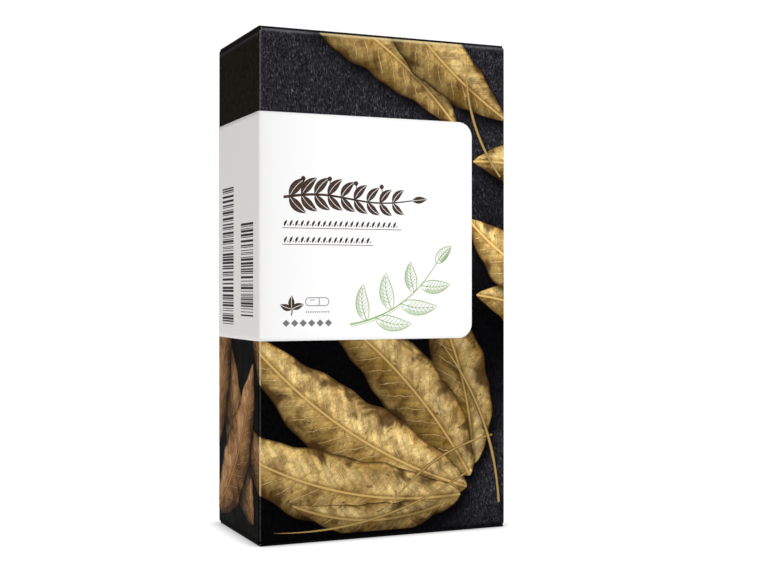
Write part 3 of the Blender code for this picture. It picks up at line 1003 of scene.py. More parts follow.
def flap_values(away, points, side, lower, ink_and_shade):
    """Pale line along the crease, partly scuffing and partly a painted highlight; the picture's
    light with painted shade at the crease; whether the print is a narrow wall's; and where the cut
    edge takes the slate print as painted shade.

    The pale line and the painted shade both fall off as exp(-(distance / reach) ** 2). At the
    lower end the light is also that of the picture's dark foot. The cut edge takes the print as
    far as the given distance from the crease.
    """
    wear_highlight_width = bpy.context.scene.carton_form.wear_highlight_width
    wear_highlight = CREASE_WEAR_HIGHLIGHT * np.exp(-((away / (1.5 * wear_highlight_width)) ** 2))
    ones = np.ones(points.shape[:2])
    # Painted shade at the crease, on the picture's light.
    light = 1 - CREASE_DARK * np.exp(-((away / CREASE_DARK_REACH) ** 2))[:, None] * ones
    if lower:
        light = light * light_pools(points[..., 0] + WIDTH / 2, 0.0)
    near = (away < ink_and_shade)[:, None] * ones
    return {"wear_highlight": wear_highlight[:, None] * ones, "shade": light, "side": side * ones, "near": near}


def make_lid(name, materials, lower):
    """Lid with its crease: the profile swept across, narrower on the wall, with a slight sag of
    sin(pi * share of the way in) * cos(pi / 2 * share of the way across)."""
    path, normals, away = crease_profile(BACK_DROP, LID_REACH - TONGUE_ROOT, 40)
    share = np.clip((path[:, 1] + BACK_DROP) / BACK_DROP, 0, 1)
    half = (WIDTH / 2 - FOLD) + (LID_HALF - WIDTH / 2 + FOLD) * share**2
    across = np.linspace(-1, 1, 60)
    x = half[:, None] * across
    inwards = np.clip(path[:, 0] / LID_REACH, 0, 1)
    sag = LID_SAG * (np.sin(np.pi * inwards)[:, None] * np.cos(across * math.pi / 2))
    y = np.broadcast_to((DEPTH / 2 - path[:, 0])[:, None], x.shape)
    z = (HEIGHT + path[:, 1])[:, None] - sag
    outer = np.stack([x, y, z], axis=-1)
    facing_out = np.stack([np.zeros(len(path)), -normals[:, 0], normals[:, 1]], axis=1)
    facing_out = np.broadcast_to(facing_out[:, None, :], outer.shape)
    # The lid's whole cut edge takes the slate print: painted shade on the edge.
    values = flap_values(away, outer, 0.0, lower, DEPTH)
    return make_flap(name, outer, facing_out, (0, 0, 1), materials, values, lower)


def tongue_half(length):
    """Half the tongue's width at this distance from its crease: as wide as the lid at the
    crease, then a short shoulder, straight sides and round lower corners."""
    past = np.clip(length - (TONGUE_LENGTH - TONGUE_CORNER), 0, TONGUE_CORNER)
    shoulder = (LID_HALF - TONGUE_HALF) * np.clip(1 - (length / TONGUE_SHOULDER) ** 2, 0, 1)
    return TONGUE_HALF - TONGUE_CORNER + np.sqrt(TONGUE_CORNER**2 - past**2) + shoulder


def make_tongue(name, materials, lower):
    """Front edge of the lid and its tuck tongue: the profile swept across the tongue's width."""
    path, normals, length, away = tongue_profile()
    x = tongue_half(length)[:, None] * np.linspace(-1, 1, 50)
    y, z = (np.broadcast_to(path[:, i, None], x.shape) for i in (0, 1))
    outer = np.stack([x, y, z], axis=-1)
    facing_out = np.stack([np.zeros(len(path)), normals[:, 0], normals[:, 1]], axis=1)
    facing_out = np.broadcast_to(facing_out[:, None, :], outer.shape)
    values = flap_values(away, outer, 0.0, lower, SHADED_EDGE)
    return make_flap(name, outer, facing_out, (0, -1, 0.2), materials, values, lower)


def dust_sides(inwards):
    """Front and back edge of a dust flap at this distance in from its crease.

    They come in from the wall's own width over the crease's radius. Then the back edge slants
    all the way and the front one past a straight run, and each turns in on an arc at the tip.
    """
    wall = DEPTH / 2 - FOLD
    run = np.clip(inwards, 0, None)
    join = np.clip(run / CREASE_RADIUS, 0, 1)
    front = DUST_FRONT + DUST_FRONT_SLANT * np.clip(run - DUST_STRAIGHT, 0, None)
    back = DUST_BACK - DUST_BACK_SLANT * run
    past = np.clip(run - (DUST_LENGTH - DUST_CORNER), 0, DUST_CORNER)
    rounded = DUST_CORNER - np.sqrt(DUST_CORNER**2 - past**2)
    front, back = front + rounded, back - rounded
    return -wall + (front + wall) * join, wall + (back - wall) * join


def make_dust_flap(name, side, materials, lower):
    """Dust flap with its crease: the profile swept between its front and back edges."""
    path, normals, away = crease_profile(SIDE_DROP - DUST_DROP, DUST_LENGTH, 34)
    inwards = path[:, 0].copy()
    tip = inwards > DUST_LENGTH - DUST_CORNER
    inwards[tip] = DUST_LENGTH - DUST_CORNER + DUST_CORNER * np.sin(
        (inwards[tip] - DUST_LENGTH + DUST_CORNER) / DUST_CORNER * math.pi / 2
    )
    front, back = dust_sides(inwards)
    y = front[:, None] + (back - front)[:, None] * np.linspace(0, 1, 26)
    x = np.broadcast_to((side * (WIDTH / 2 - inwards))[:, None], y.shape)
    z = np.broadcast_to((HEIGHT - DUST_DROP + path[:, 1])[:, None], y.shape)
    outer = np.stack([x, y, z], axis=-1)
    facing_out = np.stack([-side * normals[:, 0], np.zeros(len(path)), normals[:, 1]], axis=1)
    facing_out = np.broadcast_to(facing_out[:, None, :], outer.shape)
    values = flap_values(away, outer, 1.0, lower, SHADED_EDGE)
    values["ink"] = np.clip(1.5 - inwards / DUST_PRINT, 0, 1)[:, None] * np.ones(y.shape)
    return make_flap(name, outer, facing_out, (0, 0, 1), materials, values, lower)


def bend_across(piece, child, start, end, lower):
    """Puts a piece in the place of the child's node, and hides that node. The two points, given
    for the upper closure and turned over for the lower one, are not used."""
    ends = [np.array(start), np.array(end)]
    if lower:
        ends = [turned_over(point) for point in ends]
    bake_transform(piece)
    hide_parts(child)


def make_closure(lower):
    """Lid or bottom panel, its tongue and its two dust flaps."""
    end = "bottom" if lower else "top"
    lid, tongue = "bottom_panel" if lower else "top_lid", f"{end}_tongue"
    printed = board_materials()
    dusty = [dust_print(), *printed[1:]]
    bend, back, crease = 0.5 * MM, DEPTH / 2, DEPTH / 2 - LID_REACH
    piece = make_lid(f"{lid}_board", printed, lower)
    start, finish = (0, back, HEIGHT - bend), (0, back - bend, HEIGHT)
    bend_across(piece, lid, start, finish, lower)
    piece = make_tongue(f"{tongue}_board", printed, lower)
    start, finish = (0, crease + bend, HEIGHT), (0, crease, HEIGHT - bend)
    bend_across(piece, tongue, start, finish, lower)
    level = HEIGHT - DUST_DROP
    for side, word in ((-1, "left"), (1, "right")):
        flap = f"{end}_dust_{word}"
        piece = make_dust_flap(f"{flap}_board", side, dusty, lower)
        start = (side * WIDTH / 2, 0, level - bend)
        finish = (side * (WIDTH / 2 - bend), 0, level)
        bend_across(piece, flap, start, finish, lower)


# Label and its marks. Marks are flat ribbons in sheet coordinates, in millimetres.

LABEL_DARK = 0.142  # share of the light that the front of the label loses beside its fold
LABEL_DARK_REACH = 12 * MM


def make_label(material):
    """White label print with round corners.

    Near an end its top and bottom edge come in by
    radius - sqrt(radius ** 2 - (radius - distance from the end) ** 2).
    """
    run = LABEL_CORNER * (1 - np.sin(np.linspace(math.pi / 2, 0, 10)))
    middle = np.linspace(LABEL_START + LABEL_CORNER, LABEL_END - LABEL_CORNER, 110)[1:-1]
    s = np.concatenate([LABEL_START + run, middle, (LABEL_END - run)[::-1]])
    away = np.clip(np.minimum(s - LABEL_START, LABEL_END - s), 0, LABEL_CORNER)
    inset = LABEL_CORNER - np.sqrt(LABEL_CORNER**2 - (LABEL_CORNER - away) ** 2)
    low, high = LABEL_LOW + inset, LABEL_HIGH - inset
    z = low + (high - low) * np.linspace(0, 1, 50)[:, None]
    grid = np.stack([np.broadcast_to(s, z.shape), z, np.zeros(z.shape)], axis=-1)
    quads = grid_quads(*z.shape)
    piece = make_piece("label_print", grid.reshape(-1, 3), quads, [material])

    def values(s, z):
        front = (s > -FOLD / 2) & (s < WIDTH)
        lost = LABEL_DARK * np.exp(-np.clip(s, 0, None) / LABEL_DARK_REACH)
        greyer = np.where(front, lost, 0)
        # Pale fold line: partly scuffing and partly a painted highlight.
        return {"shade": 1 - greyer, "side": on_side(s), "wear_highlight": fold_wear_highlight(s)}

    return lay_print(piece, LABEL_LIFT, values)


def left_of(path):
    """Unit normals to the left of a path."""
    step = np.gradient(path, axis=0)
    step /= np.linalg.norm(step, axis=1)[:, None] + 1e-12
    return np.stack([-step[:, 1], step[:, 0]], axis=1)


def stroke(path, width):
    """A ribbon along a path: two points across, half the width either side."""
    path = np.asarray(path, float)
    width = np.broadcast_to(np.asarray(width, float), len(path))
    left = left_of(path) * width[:, None] / 2
    return np.stack([path + left, path - left], axis=1)


def curve(start, end, bend, points=16):
    """A line from start to end, pushed to its left by 4 bend t (1 - t)."""
    start, end = np.array(start, float), np.array(end, float)
    t = np.linspace(0, 1, points)[:, None]
    chord = end - start
    side = np.array([-chord[1], chord[0]]) / np.hypot(*chord)
    return start + chord * t + side * (4 * bend * t * (1 - t))


def polar(start, angle, length):
    """The point at this angle, in degrees, and distance from start."""
    angle = math.radians(angle)
    return np.array(start) + length * np.array([math.cos(angle), math.sin(angle)])


def solid_leaf(base, angle, length, width, bend=0.0):
    """Two half lenses with a thin bare line between them. At share t of the length, half the
    width is width / 2 * sin(pi t ** 0.85) ** 0.9."""
    path = curve(base, polar(base, angle, length), bend, 20)
    t = np.linspace(0, 1, len(path))
    half = width / 2 * np.sin(np.pi * t**0.85) ** 0.9 + 0.01
    left = left_of(path)
    vein = np.minimum(0.07, half * 0.3)
    return [
        np.stack([path + left * far[:, None], path + left * near[:, None]], axis=1)
        for near, far in ((vein, half), (-half, -vein))
    ]


def line_leaf(base, angle, length, width, line, bend=0.0):
    """A leaf drawn in lines: two edges, a midrib, side veins, and hatching on its lower half.

    At share t of the length, half the width is width / 2 * sin(pi t ** 0.8) ** 0.8.
    """
    middle = curve(base, polar(base, angle, length), bend, 40)
    t = np.linspace(0, 1, 40)
    left = left_of(middle)
    half = (width / 2 * np.sin(np.pi * t**0.8) ** 0.8)[:, None]
    taper = line * (0.55 + 0.45 * np.sin(np.pi * t))
    strokes = [stroke(middle + left * half * side, taper) for side in (1, -1)]
    strokes.append(stroke(middle[:36], line * np.linspace(1.0, 0.4, 36)))
    for place in range(7, 34, 4):
        for side in (1, -1):
            end = min(place + 5, 37)
            reach = middle[end] + left[end] * half[end] * side * 0.86
            strokes.append(stroke(curve(middle[place], reach, -0.18 * side, 8), line * 0.55))
    lower = -1 if left[20, 1] > 0 else 1
    for place in range(6, 36):
        near = middle[place] + left[place] * half[place] * lower * 0.42
        far = middle[place + 1] + left[place] * half[place] * lower * 0.94
        strokes.append(stroke(np.linspace(near, far, 3), line * 0.42))
    return strokes


def disc(centre, radius):
    """A round spot as one ribbon as wide as its own chord."""
    angle = np.linspace(0.02, math.pi - 0.02, 14)
    path = np.array(centre) + radius * np.stack([-np.cos(angle), np.zeros(14)], axis=1)
    return stroke(path, 2 * radius * np.sin(angle))


def brown_sprig():
    """Laurel branch across the upper half of the label: a waved stem with paired leaves and a
    few berries."""
    left, right, middle = 6.6, 43.4, 90.6
    s = np.linspace(left, right, 90)
    wave = middle + 0.9 * np.sin((s - left) / (right - left) * 2 * math.pi)
    strokes = [stroke(np.stack([s, wave], axis=1), np.linspace(0.75, 0.3, 90))]
    pairs = 9
    for pair in range(pairs):
        place = int(4 + pair * 80 / pairs)
        base = (s[place], wave[place])
        size = 1.0 - 0.035 * pair
        strokes += solid_leaf(base, 47, 6.6 * size, 2.7 * size, 0.5)
        strokes += solid_leaf(base, -43, 6.3 * size, 2.6 * size, -0.5)
        if pair % 2:
            stalk = polar(base, 84, 4.4)
            strokes.append(stroke(curve(base, stalk, -0.3), 0.22))
            strokes.append(disc(stalk, 0.62))
    strokes += solid_leaf((s[-1], wave[-1]), 6, 4.4, 1.9)
    return strokes


def brown_rules():
    """Two ornamental rules under the sprig: slanted grains on a hairline, with dots between."""
    start, strokes = 6.3, []
    for level, end in ((83.6, 40.1), (79.3, 31.8)):
        strokes.append(stroke(curve((start, level - 1.0), (end, level - 1.0), 0), 0.16))
        for place in np.arange(start + 0.5, end - 1.0, 1.55):
            grain = curve((place, level - 0.6), (place + 0.75, level + 1.05), 0.12, 10)
            strokes.append(stroke(grain, 0.62 * np.sin(np.linspace(0.12, math.pi - 0.12, 10))))
            strokes.append(disc((place + 0.95, level - 0.2), 0.17))
    return strokes


def brown_trefoil():
    """Small three-leaved mark at the lower left of the label."""
    strokes = []
    for angle in (20, 90, 160):
        strokes += solid_leaf((8.9, 61.4), angle, 3.5, 1.7, 0.15)
    strokes.append(stroke(curve((8.9, 61.3), (8.7, 59.7), 0.1), 0.3))
    return strokes


def grey_marks():
    """Two-part capsule in outline, a dotted line under it and a row of lozenges below."""
    centre, half, radius, line = np.array([15.9, 63.3]), 2.2, 1.05, 0.2
    turn = np.linspace(0, 2 * math.pi, 61)
    x, z = np.cos(turn), np.sin(turn)
    ends = centre + np.stack([radius * x + half * np.sign(x), radius * z], axis=1)
    strokes = [stroke(np.roll(ends, 15, axis=0)[:60], line), stroke(ends[44:47], line)]
    arc = np.linspace(-math.pi / 2, math.pi / 2, 15)
    seam = centre + np.stack([0.25 + 0.35 * np.cos(arc), radius * np.sin(arc)], axis=1)
    strokes.append(stroke(seam, line))
    strokes.append(stroke(centre + np.array([(-2.0, 0.45), (-0.6, 0.45)]), 0.16))
    for place in np.arange(12.9, 19.6, 0.62):
        strokes.append(disc((place, 60.6), 0.19))
    for place in np.arange(7.3, 20.0, 2.35):
        path = np.linspace((place - 1.0, 57.7), (place + 1.0, 57.7), 9)
        strokes.append(stroke(path, 1.9 * (1 - np.abs(np.linspace(-1, 1, 9))) + 0.02))
    return strokes


def green_sprig():
    """Line-drawn sprig of leaves on a curved stem, lower right on the label."""
    line = 0.26
    stem = curve((25.2, 57.2), (50.6, 73.6), -3.4, 60)
    strokes = [stroke(stem, line * np.linspace(1.9, 0.8, 60))]
    strokes.append(stroke(stem[:30] + (0.25, -0.55), line * 0.5))
    plan = (
        (9, 96, 9.6, 3.6, 0.9),
        (14, -10, 10.6, 3.9, -0.9),
        (24, 100, 9.8, 3.9, 0.8),
        (30, -4, 10.8, 4.0, -0.8),
        (40, 98, 8.2, 3.4, 0.6),
        (45, 2, 8.8, 3.6, -0.6),
        (59, 46, 6.6, 3.0, 0.3),
    )
    for place, angle, length, width, bend in plan:
        strokes += line_leaf(stem[place], angle, length, width, line, bend)
    return strokes


MODULE = 0.21  # a bar code's narrowest bar, in millimetres


def bar_code(start, end, low, high, seed):
    """Bars one above another, each from start to end, with seeded widths and gaps of one to
    three modules."""
    draw = np.random.default_rng(seed)
    edges = np.cumsum(draw.choice([1, 1, 2, 3], 120))
    bars = int((edges < (high - low) / MODULE).sum()) // 2 * 2
    edges = low + (high - low) * np.concatenate([[0], edges[:bars + 1]]) / edges[bars]
    strokes = []
    for lower, upper in zip(edges[0::2], edges[1::2]):
        middle = (lower + upper) / 2
        strokes.append(stroke(np.array([(start, middle), (end, middle)]), upper - lower))
    return strokes


def back_table():
    """Plain ruled table on the label's back end: hairlines, short bars and a sprig above."""
    start, end, top, pitch = -DEPTH / MM - 48, -DEPTH / MM - 6, 98.0, 4.4
    strokes = [stroke(curve((start, top), (end, top), 0, 2), 0.4)]
    for row, wide in enumerate((17, 13, 20, 11, 15, 18, 12, 16)):
        middle, rule = top - pitch * (row + 0.5), top - pitch * (row + 1)
        strokes.append(stroke(curve((start + 1, middle), (start + wide, middle), 0, 2), 0.8))
        strokes.append(stroke(curve((end - 7 + row % 3, middle), (end - 1, middle), 0, 2), 0.8))
        strokes.append(stroke(curve((start, rule), (end, rule), 0, 2), 0.16))
    for place in range(7):
        base = (start + 3 + 5.6 * place, 103.5)
        strokes += solid_leaf(base, 35, 4.8, 1.9, 0.3)
        strokes += solid_leaf(base, -30, 4.2, 1.7, -0.3)
    strokes.append(stroke(curve((start + 1, 103.5), (end - 1, 103.5), 0.2), 0.3))
    return strokes


def refine(ribbon, step=1.5):
    """A ribbon with points added wherever they lie further apart, so that it follows the wall."""
    length = np.linalg.norm(np.diff(ribbon.mean(axis=1), axis=0), axis=1)
    if length.max() <= step:
        return ribbon
    run = np.concatenate([[0], np.cumsum(length)])
    even = np.linspace(0, run[-1], int(run[-1] / step) + 2)
    places = np.unique(np.round(np.concatenate([run, even]), 3))
    sides = ribbon.reshape(-1, 4).T
    return np.stack([np.interp(places, run, side) for side in sides], axis=1).reshape(-1, 2, 2)


def print_marks(name, strokes, material, slot):
    """Lays ribbons of ink on the label: each is a closed film between two lifts."""
    parts = []
    for grid in map(refine, strokes):
        s, z = grid[..., 0] * MM, grid[..., 1] * MM
        outer, inner = wrap(s, z, MARK_LIFT), wrap(s, z, MARK_LIFT - INK)
        parts.append(plate_parts(outer, inner))
    piece = make_piece(name, *join_parts(parts)[:2], [material])
    return dress(piece, "carton", slot)


# Contents

STRIPS = 4
ROWS = 5
COLUMNS = 3
ROW_PITCH = 22.6 * MM
COLUMN_PITCH = 20.5 * MM
STRIP_CORNER = 4 * MM
FOIL_BEHIND = 0.35 * MM  # from the film's flange face to the foil
POCKET_RADIUS = 4.155 * MM
POCKET_HEIGHT = 6.95 * MM
POCKET_STRAIGHT = 6.245 * MM  # half the straight part of a pocket
CAPSULE_RADIUS = 3.455 * MM
CAPSULE_LENGTH = 19.4 * MM
FILM = 0.2 * MM
FOIL_BULGE = 0.07 * MM


def strip_frame(number):
    """Flange face and middle height of a strip, from its packed foil."""
    low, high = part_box(f"blister_{number}_foil")
    return low.y - FOIL_BEHIND, (low.z + high.z) / 2


def pocket_places():
    """Middles of a strip's pockets, as (x, height above the strip's middle)."""
    columns = (np.arange(COLUMNS) - (COLUMNS - 1) / 2) * COLUMN_PITCH
    rows = (np.arange(ROWS) - (ROWS - 1) / 2) * ROW_PITCH
    return [(x, z) for z in rows for x in columns]


def round_corners(x, z, half_x, half_z, radius):
    """Pulls points beyond the corner arcs of a rectangle back on to them."""
    cx, cz = half_x - radius, half_z - radius
    dx, dz = np.abs(x) - cx, np.abs(z) - cz
    away = np.hypot(dx, dz)
    beyond = (dx > 0) & (dz > 0) & (away > radius)
    pull = np.where(beyond, radius / np.maximum(away, 1e-9), 1.0)
    return (
        np.where(beyond, np.sign(x) * (cx + dx * pull), x),
        np.where(beyond, np.sign(z) * (cz + dz * pull), z),
    )


def cell_line(middle, pitch, count, half, points):
    """Points across a pocket's cell, which ends half a pitch away or at the strip's own edge."""
    inner = (count / 2 - 1) * pitch
    low = -half if middle < -inner else middle - pitch / 2
    high = half if middle > inner else middle + pitch / 2
    return np.linspace(low, high, points)


def pocket_cell(cx, cz, half_x, half_z):
    """One pocket and the flange round it, out to its cell's edge, as a grid of rings.

    A ring's points lie at centre line + direction * radius. The dome has radius sin(angle) at
    height sqrt(cos(angle)), and the flange runs straight from the dome's foot to the cell.
    """
    u = cell_line(cx, COLUMN_PITCH, COLUMNS, half_x, 15)
    v = cell_line(cz, ROW_PITCH, ROWS, half_z, 19)
    wide, tall = len(u) - 1, len(v) - 1
    edge_x = np.concatenate([u[:-1], np.full(tall, u[-1]), u[:0:-1], np.full(tall + 1, u[0])])
    edge_z = np.concatenate([np.full(wide, v[0]), v[:-1], np.full(wide, v[-1]), v[::-1]])
    spine = np.clip(edge_z - cz, -POCKET_STRAIGHT, POCKET_STRAIGHT)
    aim = np.stack([edge_x - cx, edge_z - cz - spine], axis=1)
    aim /= np.linalg.norm(aim, axis=1)[:, None]
    edge_x, edge_z = round_corners(edge_x, edge_z, half_x, half_z, STRIP_CORNER)
    angle = np.radians([0, 14, 28, 41, 53, 63, 72, 79, 84.5, 88, 89.6])[:, None]
    radius = np.concatenate([POCKET_RADIUS * np.sin(angle), [[POCKET_RADIUS + 0.12 * MM]]])
    height = np.concatenate([POCKET_HEIGHT * np.sqrt(np.cos(angle)), [[0.0]]])
    x = cx + aim[:, 0] * radius
    z = cz + spine + aim[:, 1] * radius
    share = np.array([0.12, 0.45, 1.0])[:, None]
    x = np.concatenate([x, x[-1] + (edge_x - x[-1]) * share])
    z = np.concatenate([z, z[-1] + (edge_z - z[-1]) * share])
    height = np.concatenate([height * np.ones(len(aim)), np.zeros((len(share), len(aim)))])
    return x[:, ::-1], -height[:, ::-1], z[:, ::-1]


def make_film(number, material):
    """Formed film of one strip: fifteen cells that share their edges, given the film's gauge."""
    face, middle = strip_frame(number)
    low, high = STRIP_BOX
    half_x, half_z = (high.x - low.x) / 2, (high.z - low.z) / 2
    grids, faces, first = [], [], 0
    for cx, cz in pocket_places():
        x, y, z = pocket_cell(cx, cz, half_x, half_z)
        grids.append(np.stack([x, face + y, middle + z], axis=-1).reshape(-1, 3))
        faces.append(grid_quads(*x.shape, first))
        first += x.size
    name = f"strip_{number}_film"
    piece = make_piece(name, np.concatenate(grids), np.concatenate(faces), [material], angle=50)
    weld(piece)
    gauge = piece.modifiers.new("gauge", "SOLIDIFY")
    gauge.thickness = FILM
    gauge.offset = -1
    return dress(piece, "carton", "film", f"blister_{number}_tray")


def capsule_outline():
    """Height, radius and cap share along a capsule: body dome, body, step up to the cap, a
    locking groove, and the cap's dome."""
    body = CAPSULE_RADIUS - 0.14 * MM
    dome = np.linspace(0, math.pi / 2, 9)
    cap_start = 0.47 * CAPSULE_LENGTH
    low_z = body * 0.98 * (1 - np.cos(dome))
    low_r = body * np.sin(dome)
    z = [low_z, [cap_start - 0.3 * MM, cap_start, cap_start + 0.05 * MM, cap_start + 0.2 * MM]]
    r = [low_r, [body, body, CAPSULE_RADIUS - 0.03 * MM, CAPSULE_RADIUS]]
    groove = np.linspace(0, 2 * math.pi, 9)
    z.append(cap_start + 1.5 * MM + groove / (2 * math.pi) * 0.9 * MM)
    r.append(CAPSULE_RADIUS - 0.05 * MM * (1 - np.cos(groove)))
    z.append(CAPSULE_LENGTH - CAPSULE_RADIUS * 0.98 * (1 - np.cos(dome[::-1])))
    r.append(CAPSULE_RADIUS * np.sin(dome[::-1]))
    z, r = np.concatenate(z), np.concatenate(r)
    return z - CAPSULE_LENGTH / 2, r, (z > cap_start).astype(float)


def make_capsules(number, material):
    """The strip's fifteen capsules: the outline turned round the upright axis, each a little
    turned and shifted in its pocket by a seeded draw."""
    face, middle = strip_frame(number)
    draw = np.random.default_rng(40 + number)
    height, radius, cap = capsule_outline()
    turn = np.linspace(0, 2 * math.pi, 29)
    grids, faces, caps, first = [], [], [], 0
    for cx, cz in pocket_places():
        start, slide = draw.uniform(0, 2 * math.pi), draw.uniform(-0.25, 0.25) * MM
        over = draw.choice([-1, 1])
        x = cx + radius[:, None] * np.cos(turn + start)
        y = face - POCKET_HEIGHT + FILM + CAPSULE_RADIUS + 0.02 * MM
        y = y + radius[:, None] * np.sin(turn + start) * over
        z = middle + cz + slide + over * height[:, None] * np.ones(len(turn))
        grids.append(np.stack([x, y, z], axis=-1).reshape(-1, 3))
        faces.append(grid_quads(len(height), len(turn), first))
        caps.append(np.repeat(cap, len(turn)))
        first += x.size
    name, values = f"strip_{number}_capsules", {"cap": np.concatenate(caps)}
    points, quads = np.concatenate(grids), np.concatenate(faces)
    piece = make_piece(name, points, quads, [material], None, values, 40)
    weld(piece)
    return dress(piece, "carton", "capsule", f"blister_{number}_tray")


def make_foil(number, material):
    """Foil of one strip: a rounded sheet, pushed out behind each pocket by
    bulge * (1 - (distance from the pocket's middle line / pocket radius) ** 2)."""
    low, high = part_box(f"blister_{number}_foil")
    half_x, half_z = (high.x - low.x) / 2, (high.z - low.z) / 2
    middle = (low.z + high.z) / 2
    u, v = np.meshgrid(np.linspace(-half_x, half_x, 60), np.linspace(-half_z, half_z, 100))
    bulge = np.zeros(u.shape)
    for cx, cz in pocket_places():
        spine = np.clip(v - cz, -POCKET_STRAIGHT, POCKET_STRAIGHT)
        away = np.hypot(u - cx, v - cz - spine) / POCKET_RADIUS
        bulge = np.maximum(bulge, FOIL_BULGE * np.clip(1 - away**2, 0, 1))
    x, z = round_corners(u, v, half_x, half_z, STRIP_CORNER)
    inner = np.stack([x, low.y + bulge, middle + z], axis=-1)
    outer = np.stack([x, high.y + bulge, middle + z], axis=-1)
    points, faces, _ = plate_parts(*face_towards(outer, inner, (0, 1, 0)))
    piece = make_piece(f"strip_{number}_foil", points, faces, [material])
    return dress(piece, "carton", "foil", f"blister_{number}_foil")


def make_leaflet(material):
    """Folded leaflet: four sheets nested in one another, each folded round at its left edge."""
    low, high = LEAFLET_BOX
    paper, sheets = 0.09 * MM, 4
    outer_radius = (high.y - low.y) / 2
    middle = (high.y + low.y) / 2
    centre = low.x + outer_radius
    draw = np.random.default_rng(7)
    parts = []
    for sheet in range(sheets):
        radius = outer_radius - sheet * (outer_radius - paper) / (sheets - 0.4)
        right = high.x - sheet * 0.25 * MM
        run = np.linspace(right, centre, 30)[:-1]
        turn = np.linspace(-math.pi / 2, -3 * math.pi / 2, 17)
        x = np.concatenate([run, centre + radius * np.cos(turn), run[::-1]])
        flat = np.ones(len(run))
        nx = np.concatenate([0 * flat, np.cos(turn), 0 * flat])
        ny = np.concatenate([-flat, np.sin(turn), flat])
        drop = draw.uniform(0, 0.5) * MM
        z = np.linspace(low.z + 0.05 * MM, high.z - drop, 24)[:, None] * np.ones(len(x))
        swell = 0.03 * MM * np.sin(np.pi * (z - low.z) / (high.z - low.z)) * np.abs(ny)
        y = middle + radius * ny - swell * ny * (sheet > 0)
        outer = np.stack([np.broadcast_to(x, z.shape), y, z], axis=-1)
        normal = np.stack([nx, ny, np.zeros(len(x))], axis=-1)
        inner = outer - normal[None, :, :] * paper
        parts.append(plate_parts(*face_towards(outer, inner, (-1, 0, 0))))
    piece = make_piece("leaflet_paper", *join_parts(parts)[:2], [material])
    return dress(piece, "carton", "paper", "leaflet")


# Stage

CAMERA_PLACE = (-0.1354, -0.3327, 0.0669)
CAMERA_TURN = math.radians(-23.21)
CAMERA_LENS = 59.42
FLOOR_HALF = 6.0
FLOOR_STEPS = 13
FLOOR_DROP = 0.02 * MM
# The floor's glow fades near the carton as a painted contact shadow.
FLOOR_SHADOW_REACH = 4.4 * MM  # how far from the carton the floor's glow begins to fade
BACKDROP = 1.05  # strength of the white that the camera sees
KEY_SPREAD = 34  # how wide each light looks, in degrees
OVERHEAD_SPREAD = 110
OVERHEAD_FROM = (0.05, -0.12, 1.0)


def make_floor():
    """Pale floor: a broad level grid just under the carton."""
    line = np.linspace(-1, 1, FLOOR_STEPS) * FLOOR_HALF
    x, y = np.meshgrid(line, line)
    grid = np.stack([x, y, np.full(x.shape, -FLOOR_DROP)], axis=-1)
    floor = make_piece("floor", grid.reshape(-1, 3), grid_quads(*x.shape), [pale_floor()])


def make_sun(name, direction, energy, spread):
    """A soft light of even strength that shines from the given direction."""
    data = bpy.data.lights.new(name, "SUN")
    data.energy = energy
    data.angle = math.radians(spread)
    lamp = bpy.data.objects.new(name, data)
    lamp.rotation_euler = Vector(direction).to_track_quat("Z", "Y").to_euler()
    bpy.context.scene.collection.objects.link(lamp)


def make_surroundings():
    """White surroundings for the camera, and a softer white for the light that they give."""
    stage = bpy.context.scene.carton_stage
    world = bpy.data.worlds.new("surroundings")
    world.use_nodes = True
    nodes, links = world.node_tree.nodes, world.node_tree.links
    background = nodes["Background"]
    background.inputs["Color"].default_value = (1, 1, 1, 1)
    seen = nodes.new("ShaderNodeLightPath")
    strength = nodes.new("ShaderNodeMapRange")
    strength.inputs["To Min"].default_value = stage.surround
    strength.inputs["To Max"].default_value = BACKDROP
    links.new(seen.outputs["Is Camera Ray"], strength.inputs["Value"])
    links.new(strength.outputs["Result"], background.inputs["Strength"])
    bpy.context.scene.world = world


def make_camera():
    """Camera level with the carton's middle, in front of it and to its left."""
    data = bpy.data.cameras.new("camera")
    data.lens = CAMERA_LENS
    data.sensor_width = 36
    data.clip_start = 0.01
    data.clip_end = 30
    camera = bpy.data.objects.new("camera", data)
    camera.location = CAMERA_PLACE
    camera.rotation_euler = (math.pi / 2, 0, CAMERA_TURN)
    bpy.context.scene.collection.objects.link(camera)
    bpy.context.scene.camera = camera


# Sizes and colours that a user would change

def colour_setting(name, description, default):
    """A colour in linear light."""
    return FloatVectorProperty(
        name=name, description=description, default=default, subtype="COLOR", min=0, max=1
    )


def length_setting(name, description, default):
    """A length in metres."""
    return FloatProperty(
        name=name, description=description, default=default, subtype="DISTANCE",
        unit="LENGTH", min=0, precision=5,
    )


def strength_setting(name, description, default):
    """The strength of a light."""
    return FloatProperty(name=name, description=description, default=default, min=0)


class CartonForm(PropertyGroup):
    """How the board is bent and worn."""

    bow: length_setting("Bow", "How far each wall of the sleeve swells at its middle", 0.14 * MM)
    # Half width of the pale lines, which are partly scuffing and partly a painted highlight.
    wear_highlight_width: length_setting("Wear", "Half width of the pale line along a worn fold", 0.26 * MM)
    seed: IntProperty(name="Seed", description="First number of the bar codes' draws", default=5)


